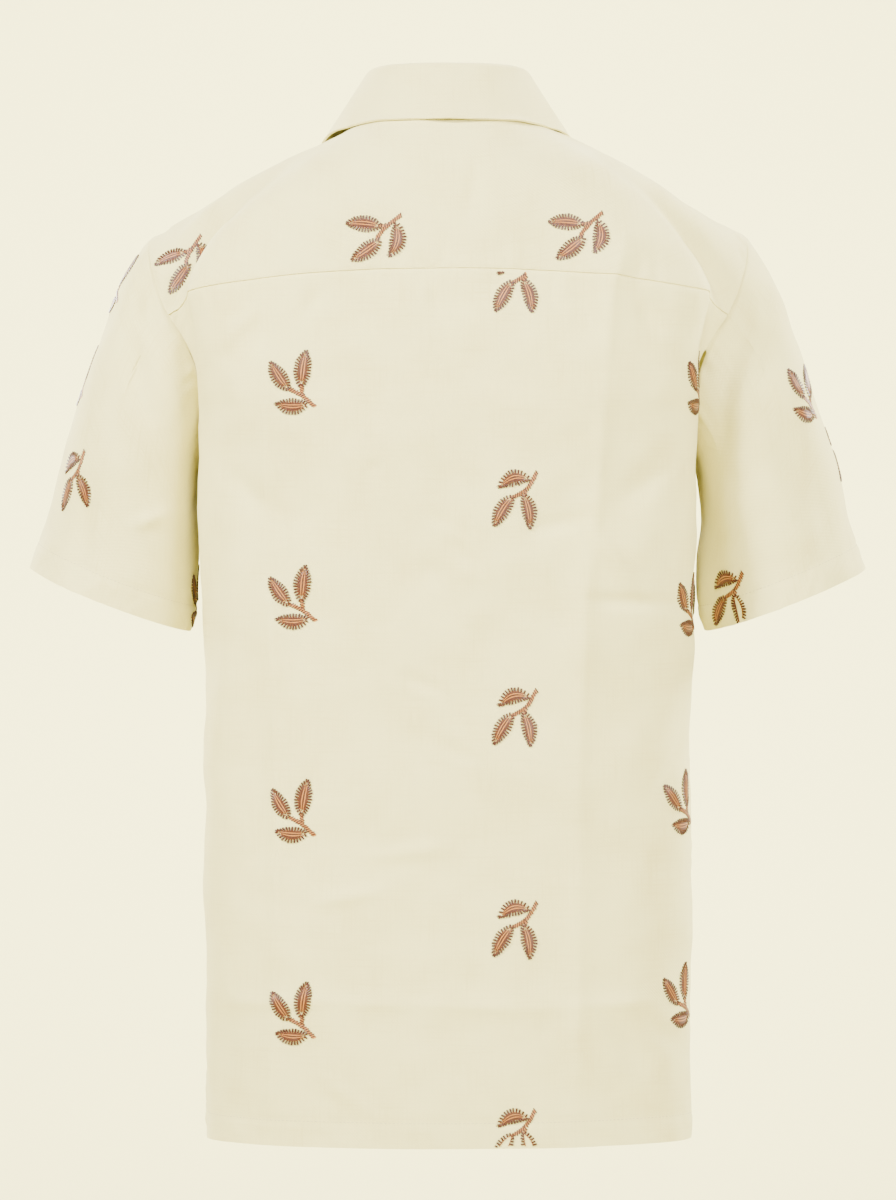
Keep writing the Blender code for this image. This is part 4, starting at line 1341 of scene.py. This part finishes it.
class Sprig:
    """One embroidered sprig on its patch of cloth."""

    def __init__(self, work, patch, rng, padding):
        self.work = work
        self.patch = patch
        self.rng = rng
        self.padding = padding

    def sew(self, line, width, shade, lift=0.0):
        """Lay one strand along flat places, unless it lies past the edge of the cloth."""
        points, ways, off = self.patch.read(line)
        if off.max() > OFF_CLOTH:
            return
        self.work.strand(points + ways * lift, ways, width * MM, shade)

    def stitch(self, start, way, length, width, shade, lift=0.0):
        """One short straight stitch."""
        start = np.array(start) + self.rng.uniform(-HAND_JITTER, HAND_JITTER)
        stops = np.array(SHORT_STITCH_POINTS)[:, None] * length * self.rng.uniform(*HAND_LENGTH)
        self.sew(start + np.array(way) * stops, width * self.rng.uniform(*HAND_WIDTH), shade, lift)

    def leaf(self, base_x, base_y, tip_x, tip_y, bow, width):
        """A leaf: a fringe of short stitches round a satin middle of long ones."""
        base, tip = np.array((base_x, base_y)), np.array((tip_x, tip_y))
        run = tip - base
        length = math.hypot(*run)
        along = run / length
        left = np.array((-along[1], along[0]))
        scale = width / LEAF_WIDTH

        def middle(s):
            """A place on the bowed midrib."""
            return base + run * s + left * bow * 4 * s * (1 - s)

        def reach(s):
            """Half the width of the leaf's satin middle."""
            return LENS * scale * math.sin(math.pi * min(max(s, 0), 1) ** LENS_SKEW) ** LENS_ROUND

        count = int(length * FRINGE_CROWD / FRINGE_PITCH)
        edge_places = enumerate(np.linspace(*FRINGE_SPAN, 2 * count + 1))
        for hand, (number, s) in itertools.product((1, -1), edge_places):
            lean = math.radians((s - FRINGE_SQUARE) * FRINGE_LEAN)
            way = left * hand * math.cos(lean) + along * math.sin(lean)
            place = middle(s) + left * hand * reach(s)
            size = FRINGE_LENGTH * scale * (1 - FRINGE_SHORT + FRINGE_SHORT * math.sin(math.pi * s))
            for second, start, part, long, wide, shade, lift in FRINGE_STITCHES:
                if number % 2 == second:
                    foot = place + way * (start + size * part)
                    self.stitch(foot, way, size * long, FRINGE_WIDTH * wide, shade, lift * MM)
        # The pale spines are a painted highlight on the satin middle.
        stops = np.linspace(*SPINE_SPAN, SPINE_STEPS)
        for offset, strand_width, shade in SPINES:
            ends = SPINE_SHORTER * abs(offset)
            line = np.array([middle(s) + left * offset * reach(s) for s in stops * (1 - 2 * ends) + ends])
            self.sew(line, strand_width * scale, shade, self.padding)

    def stem(self, line):
        """A stem of slanted bars across its line, dark ones over pale ones."""
        points = resample(line, STEM_STEPS)
        steps = run_along(points)
        count = max(2, int(steps[-1] / STEM_PITCH))
        for number in range(2 * count):
            place = steps[-1] * (number + 0.5) / (2 * count)
            behind, here, ahead = (
                np.array([np.interp(place + shift, steps, points[:, k]) for k in (0, 1)])
                for shift in (-0.4, 0, 0.4)
            )
            along = unit(ahead - behind)
            way = unit(np.array((-along[1], along[0])) + along * STEM_SLANT)
            for second, long, shade, lift in STEM_BARS:
                if number % 2 == second:
                    foot = here - way * STEM_LENGTH * long / 2
                    self.stitch(foot, way, STEM_LENGTH * long, STEM_WIDTH, shade, lift * MM)

    def tail(self, place):
        """The small loop of thread at a leaf's tip."""
        turns = np.linspace(TAIL_START, 2 * math.pi, 9)
        wide, high = TAIL_LOOP
        ring = np.stack([TAIL_MIDDLE + wide * np.cos(turns), high * np.sin(turns)], axis=1)
        self.sew(np.array(place) + ring, *TAIL_THREAD)


def add_node(tree, kind, inputs=(), **settings):
    """Add a shader node, set its properties and fill its sockets with values or other sockets."""
    made = tree.nodes.new(kind)
    for name, value in settings.items():
        setattr(made, name, value)
    for name, value in dict(inputs).items():
        if isinstance(value, bpy.types.NodeSocket):
            tree.links.new(value, made.inputs[name])
        else:
            made.inputs[name].default_value = value
    return made


def new_finish(name):
    """An empty node material with its output: the tree, and a function that joins a shader to it."""
    material = bpy.data.materials.new(name)
    material.use_nodes = True
    tree = material.node_tree
    tree.nodes.clear()
    output = tree.nodes.new("ShaderNodeOutputMaterial")

    def finish(shader):
        """Show this shader."""
        tree.links.new(shader.outputs[0], output.inputs["Surface"])
        return material

    return tree, finish


def ramp(tree, factor, stops):
    """A colour ramp over (place, colour) stops."""
    made = add_node(tree, "ShaderNodeValToRGB", {"Fac": factor})
    elements = made.color_ramp.elements
    while len(elements) < len(stops):
        elements.new(0.5)
    for element, (place, colour) in zip(elements, stops):
        element.position = place
        element.color = colour
    return made


def woven_cotton_linen(name):
    """Plain-woven cotton and linen, washed and pressed: matt, with soft fuzz at grazing angles.

    Thicker slub threads run both ways and give it a faint, uneven grain.
    """
    settings = cloth_settings()
    tree, finish = new_finish(name)
    flat = add_node(tree, "ShaderNodeUVMap", uv_map="flat_cloth").outputs["UV"]

    # Real threads lie about 0.45 mm apart, too fine to show here, so the weave is drawn coarser.
    turns = math.pi / settings.thread_spacing
    weave = None
    split = add_node(tree, "ShaderNodeSeparateXYZ", {"Vector": flat})
    for axis in ("X", "Y"):
        scaled = add_node(tree, "ShaderNodeMath", {0: split.outputs[axis], 1: turns}, operation="MULTIPLY")
        wave = add_node(tree, "ShaderNodeMath", {0: scaled.outputs[0]}, operation="SINE").outputs[0]
        weave = wave if weave is None else add_node(
            tree, "ShaderNodeMath", {0: weave, 1: wave}, operation="MULTIPLY"
        ).outputs[0]

    slubs = None
    for stretch in ((28, 620, 1), (620, 28, 1)):
        placed = add_node(tree, "ShaderNodeMapping", {"Vector": flat, "Scale": stretch})
        cloudy = add_node(
            tree, "ShaderNodeTexNoise",
            {"Vector": placed.outputs[0], "Scale": 1.0, "Detail": 1.0, "Roughness": 0.6},
        ).outputs["Fac"]
        slubs = cloudy if slubs is None else add_node(
            tree, "ShaderNodeMath", {0: slubs, 1: cloudy}, operation="MAXIMUM"
        ).outputs[0]
    broad = add_node(
        tree, "ShaderNodeTexNoise", {"Vector": flat, "Scale": 22.0, "Detail": 1.0, "Roughness": 0.55}
    ).outputs["Fac"]
    grain = add_node(tree, "ShaderNodeMath", {0: slubs, 1: broad}, operation="MULTIPLY").outputs[0]
    colour = ramp(tree, grain, ((0.22, settings.colour), (0.50, settings.slub_colour)))

    bump = add_node(tree, "ShaderNodeBump", {"Strength": 0.22, "Distance": 0.25 * MM, "Height": weave})
    rough = add_node(tree, "ShaderNodeMapRange", {"Value": broad, "To Min": 0.78, "To Max": 0.92})
    return finish(add_node(tree, "ShaderNodeBsdfPrincipled", {
        "Base Color": colour.outputs["Color"],
        "Roughness": rough.outputs[0],
        "IOR": 1.47,
        "Specular IOR Level": 0.25,
        "Sheen Weight": 0.18,
        "Sheen Roughness": 0.5,
        "Normal": bump.outputs[0],
    }))


def spun_sewing_thread(name):
    """Spun polyester sewing thread: the cloth's colour, a little glossier, so stitches catch light."""
    settings = cloth_settings()
    tree, finish = new_finish(name)
    shade = add_node(tree, "ShaderNodeAttribute", attribute_name="shade").outputs["Fac"]
    colour = ramp(tree, shade, ((0.0, settings.sewing_shade), (1.0, settings.sewing_colour)))
    fuzz = add_node(tree, "ShaderNodeTexNoise", {"Scale": 2600.0, "Detail": 1.0}).outputs["Fac"]
    bump = add_node(tree, "ShaderNodeBump", {"Strength": 0.3, "Distance": 0.1 * MM, "Height": fuzz})
    return finish(add_node(tree, "ShaderNodeBsdfPrincipled", {
        "Base Color": colour.outputs["Color"],
        "Roughness": 0.6,
        "IOR": 1.55,
        "Normal": bump.outputs[0],
    }))


def rayon_embroidery_thread(name):
    """Spun rayon embroidery thread laid in satin stitches: silky, and its pale bands are a painted highlight
    in the thread's colour.
    """
    settings = bpy.context.scene.shirt_embroidery
    tree, finish = new_finish(name)
    shade = add_node(tree, "ShaderNodeAttribute", attribute_name="shade").outputs["Fac"]
    # Dyed in lots, so copper patches a few millimetres wide drift lighter and redder.
    patchy = add_node(tree, "ShaderNodeTexNoise", {"Scale": 260.0, "Detail": 2.0}).outputs["Fac"]
    drift = add_node(tree, "ShaderNodeMapRange", {"Value": patchy, "To Min": -0.14, "To Max": 0.14})
    mixed = add_node(tree, "ShaderNodeMath", {0: shade, 1: drift.outputs[0]}, operation="ADD")
    colour = ramp(tree, mixed.outputs[0], (
        (0.0, settings.dark), (0.4, settings.middle), (1.0, settings.pale),
    ))
    fibres = add_node(tree, "ShaderNodeTexNoise", {"Scale": 3200.0, "Detail": 1.0}).outputs["Fac"]
    bump = add_node(tree, "ShaderNodeBump", {"Strength": 0.35, "Distance": 0.1 * MM, "Height": fibres})
    return finish(add_node(tree, "ShaderNodeBsdfPrincipled", {
        "Base Color": colour.outputs["Color"],
        "Roughness": 0.42,
        "IOR": 1.52,
        "Sheen Weight": 0.2,
        "Sheen Roughness": 0.4,
        "Normal": bump.outputs[0],
    }))


def polished_shell(name):
    """Polished river shell, turned and drilled: glossy, with soft paler clouds in its layers."""
    settings = bpy.context.scene.shirt_buttons
    tree, finish = new_finish(name)
    place = add_node(tree, "ShaderNodeTexCoord").outputs["Object"]
    placed = add_node(tree, "ShaderNodeMapping", {"Vector": place, "Scale": (90, 90, 260)})
    clouds = add_node(
        tree, "ShaderNodeTexNoise",
        {"Vector": placed.outputs[0], "Scale": 1.0, "Detail": 3.0, "Distortion": 1.2},
    ).outputs["Fac"]
    colour = ramp(tree, clouds, ((0.35, settings.shell), (0.65, settings.cloud)))
    bump = add_node(tree, "ShaderNodeBump", {"Strength": 0.08, "Distance": 0.2 * MM, "Height": clouds})
    return finish(add_node(tree, "ShaderNodeBsdfPrincipled", {
        "Base Color": colour.outputs["Color"],
        "Roughness": 0.18,
        "IOR": 1.53,
        "Coat Weight": 0.4,
        "Coat Roughness": 0.08,
        "Normal": bump.outputs[0],
    }))


def matt_paper(name):
    """Seamless backdrop paper: matt and pale, slightly mottled so that it isn't a flat colour."""
    settings = bpy.context.scene.shirt_studio
    tree, finish = new_finish(name)
    place = add_node(tree, "ShaderNodeTexCoord").outputs["Object"]
    mottle = add_node(
        tree, "ShaderNodeTexNoise", {"Vector": place, "Scale": 0.6, "Detail": 2.0}
    ).outputs["Fac"]
    darker = [c * 0.97 for c in settings.paper[:3]] + [1.0]
    colour = ramp(tree, mottle, ((0.3, darker), (0.7, settings.paper)))
    return finish(add_node(tree, "ShaderNodeBsdfPrincipled", {
        "Base Color": colour.outputs["Color"],
        "Roughness": 0.9,
        "Specular IOR Level": 0.1,
    }))


def sewn_sheet(name):
    """Look up what a cloth piece was cut to; nothing is done with the numbers."""
    width, length, area = CUTS[name]


class SHIRT_OT_body(bpy.types.Operator):
    """Cut and hang the back, yoke, fronts and sleeves."""

    bl_idname = "shirt.body"
    bl_label = "Body and sleeves"

    def execute(self, context):
        cloth = woven_cotton_linen("woven_cotton_linen_body")
        BUILT["body"] = {}
        for piece in shirt_pieces():
            obj = cloth_object(piece, cloth, piece.thickness())
            sewn_sheet(piece.name)
            BUILT["body"][piece.name] = piece
        return {"FINISHED"}


class SHIRT_OT_collar(bpy.types.Operator):
    """Lay the camp collar and its two lapels on the body."""

    bl_idname = "shirt.collar"
    bl_label = "Collar and lapels"

    def execute(self, context):
        settings = cloth_settings()
        cloth = woven_cotton_linen("woven_cotton_linen_collar")
        left, left_normals = BUILT["left_open"]
        ground = BUILT["ground"]
        gorge_row = int(np.argmin(abs(body_rows() - GORGE_UP)))
        neckline_front = left[gorge_row:, 0][::-1]

        def neck_at(place):
            """The collar's seam on the neckline: 0 centre back, 2 end of the yoke, 3 gorge."""
            if place <= 2:
                return neck_curve(left[-1, 0], place / 2)
            return at_lengths(neckline_front, [place - 2])[0]

        shapes = {
            "collar": collar_grid(neck_at, ground),
            "lapel_left": lapel_grid(left, left_normals, LEFT_LAPEL_START, ground),
            "lapel_right": mirrored(lapel_grid(left, left_normals, RIGHT_LAPEL_START, ground))[:, ::-1],
        }
        for name, grid in shapes.items():
            piece = Piece(name, grid)
            piece.normals = grid_normals(grid)
            obj = cloth_object(piece, cloth, np.full(grid.shape[:2], settings.folded))
            sewn_sheet(name)
            BUILT["body"][name] = piece
        return {"FINISHED"}


class SHIRT_OT_topstitch(bpy.types.Operator):
    """Sew the hems of the body and the sleeves."""

    bl_idname = "shirt.topstitch"
    bl_label = "Topstitching"

    def execute(self, context):
        settings = cloth_settings()
        body = BUILT["body"]
        thread = spun_sewing_thread("spun_sewing_thread_seams")
        rng = random.Random(11)
        work = ThreadWork()
        for name in ("back_panel", "front_left", "front_right"):
            topstitch(work, *row_line(body[name], "first_row", settings.hem), rng)
        for name in ("sleeve_left", "sleeve_right"):
            topstitch(work, *row_line(body[name], "last_row", settings.cuff), rng)
        work.make("topstitching", thread, "cloth")
        return {"FINISHED"}


class SHIRT_OT_embroidery(bpy.types.Operator):
    """Sew every sprig of the repeat, stitch by stitch."""

    bl_idname = "shirt.embroidery"
    bl_label = "Embroidered sprigs"

    def execute(self, context):
        padding = context.scene.shirt_embroidery.lift
        thread = rayon_embroidery_thread("rayon_embroidery_thread_copper")
        rng = random.Random(5)
        works = {}
        for row in PLACES:
            line = dict(zip(PLACE_COLUMNS, row))
            piece = BUILT["body"][line["piece"]]
            if line["piece"] not in works:
                works[line["piece"]] = (ThreadWork(), surface_tree([piece]))
            work, tree = works[line["piece"]]
            shape = SPRIGS[line["kind"]]
            for height in line["heights"]:
                patch = Patch(tree, line["view"], line["across"], height, line["turn"] + rng.uniform(-2, 2))
                sprig = Sprig(work, patch, rng, padding)
                for stem in shape["stems"]:
                    sprig.stem(stem)
                for leaf in shape["leaves"]:
                    sprig.leaf(*leaf)
                sprig.tail(shape["tail"])
        for name, (work, _) in works.items():
            work.make(name + "_embroidery", thread, "embroidery")
        return {"FINISHED"}


class SHIRT_OT_buttons(bpy.types.Operator):
    """Finish the buttons, and sew their buttonholes and the thread through their holes."""

    bl_idname = "shirt.buttons"
    bl_label = "Buttons and buttonholes"

    def execute(self, context):
        shell = polished_shell("polished_shell_button")
        thread = spun_sewing_thread("spun_sewing_thread_buttons")
        rng = random.Random(3)
        holes = ThreadWork()
        ground = surface_tree([BUILT["body"]["front_left"]])
        for name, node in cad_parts.items():
            if not name.startswith("button"):
                continue
            node.data.materials.clear()
            node.data.materials.append(shell)
            low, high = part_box(name)
            centre = (low + high) / 2
            self.buttonhole(holes, ground, centre, rng)
            self.cross_stitch(holes, centre, low.y, rng)
        holes.make("buttonholes", thread, "cloth")
        return {"FINISHED"}

    def buttonhole(self, work, ground, centre, rng):
        """An upright slot worked with close stitches, mostly behind the button."""
        count = int(BUTTONHOLE_LENGTH / BUTTONHOLE_PITCH)
        for number, hand in itertools.product(range(count), (1, -1)):
            z = centre.z + BUTTONHOLE_LENGTH * (number / (count - 1) - 0.5)
            reach = BUTTONHOLE_SLOT + (1 - BUTTONHOLE_SLOT) * np.array(STITCH_POINTS)
            across = centre.x + hand * BUTTONHOLE_WIDTH / 2 * reach
            line, ways = zip(*(on_front(ground, x, z) for x in across))
            work.strand(np.array(line), np.array(ways), BUTTONHOLE_THREAD, rng.uniform(*BUTTONHOLE_SHADES))

    def cross_stitch(self, work, centre, face_y, rng):
        """Two bars of thread between the button's four holes."""
        for side, strand in itertools.product((-BAR_REACH, BAR_REACH), BAR_STRANDS):
            x = centre.x + side + strand * MM
            line = np.array([(x, face_y + deep * MM, centre.z + BAR_REACH * up) for deep, up in BAR_LINE])
            work.strand(line, np.array([(0.0, -1.0, 0.0)] * 4), BAR_THREAD, rng.uniform(*BAR_SHADES))


class SHIRT_OT_studio(bpy.types.Operator):
    """Set up the pale backdrop, the soft lights and the camera."""

    bl_idname = "shirt.studio"
    bl_label = "Studio"

    def execute(self, context):
        settings = context.scene.shirt_studio
        self.backdrop(settings)
        self.lights(settings)
        self.camera(settings)
        return {"FINISHED"}

    def backdrop(self, settings):
        """A round floor that curves up into a wall all round the shirt."""
        floor_z = CAD_BOX[0].z - settings.floor
        sweep = settings.bowl * SWEEP
        profile = [(settings.bowl * share, floor_z) for share in FLOOR_RINGS]
        for k in range(1, SWEEP_STEPS + 1):
            turn = math.pi / 2 * k / SWEEP_STEPS
            profile.append((
                settings.bowl - sweep + sweep * math.sin(turn), floor_z + sweep * (1 - math.cos(turn))
            ))
        profile.append((settings.bowl, floor_z + settings.bowl * WALL_HEIGHT))
        bm = bmesh.new()
        rings = []
        for radius, z in profile[1:]:
            angles = [2 * math.pi * k / BACKDROP_SIDES for k in range(BACKDROP_SIDES)]
            rings.append([bm.verts.new((radius * math.cos(a), radius * math.sin(a), z)) for a in angles])
        centre = bm.verts.new((0, 0, floor_z))
        for k in range(BACKDROP_SIDES):
            after = (k + 1) % BACKDROP_SIDES
            bm.faces.new((centre, rings[0][k], rings[0][after]))
            for low, high in zip(rings, rings[1:]):
                bm.faces.new((low[k], high[k], high[after], low[after]))
        mesh = bpy.data.meshes.new("backdrop")
        bm.to_mesh(mesh)
        bm.free()
        mesh.shade_smooth()
        mesh.materials.append(matt_paper("matt_paper_backdrop"))
        backdrop = bpy.data.objects.new("backdrop", mesh)
        bpy.context.scene.collection.objects.link(backdrop)

    def lights(self, settings):
        """Soft lamps at the upper left, the right and the top of the back and the front, and on each wall."""
        world = bpy.data.worlds.new("soft_sky")
        world.use_nodes = True
        sky = world.node_tree.nodes["Background"]
        sky.inputs["Color"].default_value = linear("#FFFDF8")
        sky.inputs["Strength"].default_value = SKY_STRENGTH * settings.light
        bpy.context.scene.world = world
        upper_shirt = Vector(LAMP_AIM)
        for face, hand in (("back", 1), ("front", -1)):
            for name, (x, y, z), size, watts in LAMPS:
                place = Vector((x * hand, y * hand, z))
                self.lamp(f"{face}_{name}", place, upper_shirt, size, watts * settings.light, LAMP_SPREAD)
        out, up = WALL_LAMP_PLACE
        for side, x, y, watts in WALL_LAMPS:
            place = Vector((out * x, out * y, up))
            aim = Vector((settings.bowl * x, settings.bowl * y, WALL_LAMP_AIM))
            self.lamp(f"{side}_wall", place, aim, WALL_LAMP_SIZE, watts * settings.light, WALL_LAMP_SPREAD)

    def lamp(self, name, place, aim, size, watts, spread):
        """One round lamp; its spread is the angle of its cone in degrees."""
        data = bpy.data.lights.new(name, "AREA")
        data.shape = "DISK"
        data.size = size
        data.energy = watts
        data.spread = math.radians(spread)
        data.color = linear("#FFFCF4")[:3]
        light = bpy.data.objects.new(name, data)
        light.location = place
        light.rotation_euler = (aim - place).to_track_quat("-Z", "Y").to_euler()
        light.visible_camera = False
        bpy.context.scene.collection.objects.link(light)

    def camera(self, settings):
        """Level with the shirt's middle, looking at its back, as the photograph was taken."""
        data = bpy.data.cameras.new("camera")
        data.sensor_width = SENSOR
        data.lens = data.sensor_width * settings.distance / PICTURE_HEIGHT
        data.clip_end = 100
        camera = bpy.data.objects.new("camera", data)
        camera.location = (0, settings.distance, PICTURE_MIDDLE)
        camera.rotation_euler = (math.pi / 2, 0, math.pi)
        bpy.context.scene.collection.objects.link(camera)
        bpy.context.scene.camera = camera


class SHIRT_PT_sewing(bpy.types.Panel):
    """Settings and steps of the shirt, in the order in which they are done."""

    bl_label = "Embroidered shirt"
    bl_idname = "SHIRT_PT_sewing"
    bl_space_type = "VIEW_3D"
    bl_region_type = "UI"
    bl_category = "Shirt"

    def draw(self, context):
        layout = self.layout
        for group in SETTINGS:
            box = layout.box()
            settings = getattr(context.scene, group)
            for name in settings.bl_rna.properties.keys():
                if name not in ("rna_type", "name"):
                    box.prop(settings, name)
        for step in STEPS:
            layout.operator(step.bl_idname)


SETTINGS = {
    "shirt_cloth": ShirtCloth,
    "shirt_embroidery": ShirtEmbroidery,
    "shirt_buttons": ShirtButtons,
    "shirt_studio": ShirtStudio,
}
STEPS = (
    SHIRT_OT_body,
    SHIRT_OT_collar,
    SHIRT_OT_topstitch,
    SHIRT_OT_embroidery,
    SHIRT_OT_buttons,
    SHIRT_OT_studio,
)


def register():
    """Make the settings, steps and panel known to Blender."""
    for kind in (*SETTINGS.values(), *STEPS, SHIRT_PT_sewing):
        bpy.utils.register_class(kind)
    for name, kind in SETTINGS.items():
        setattr(bpy.types.Scene, name, PointerProperty(type=kind))


def unregister():
    """Take them away again."""
    for name in SETTINGS:
        delattr(bpy.types.Scene, name)
    for kind in reversed((*SETTINGS.values(), *STEPS, SHIRT_PT_sewing)):
        bpy.utils.unregister_class(kind)


def main():
    """Register the settings and steps, then do every step in order."""
    register()
    for step in STEPS:
        group, name = step.bl_idname.split(".")
        getattr(getattr(bpy.ops, group), name)()


if __name__ == "__main__":
    main()
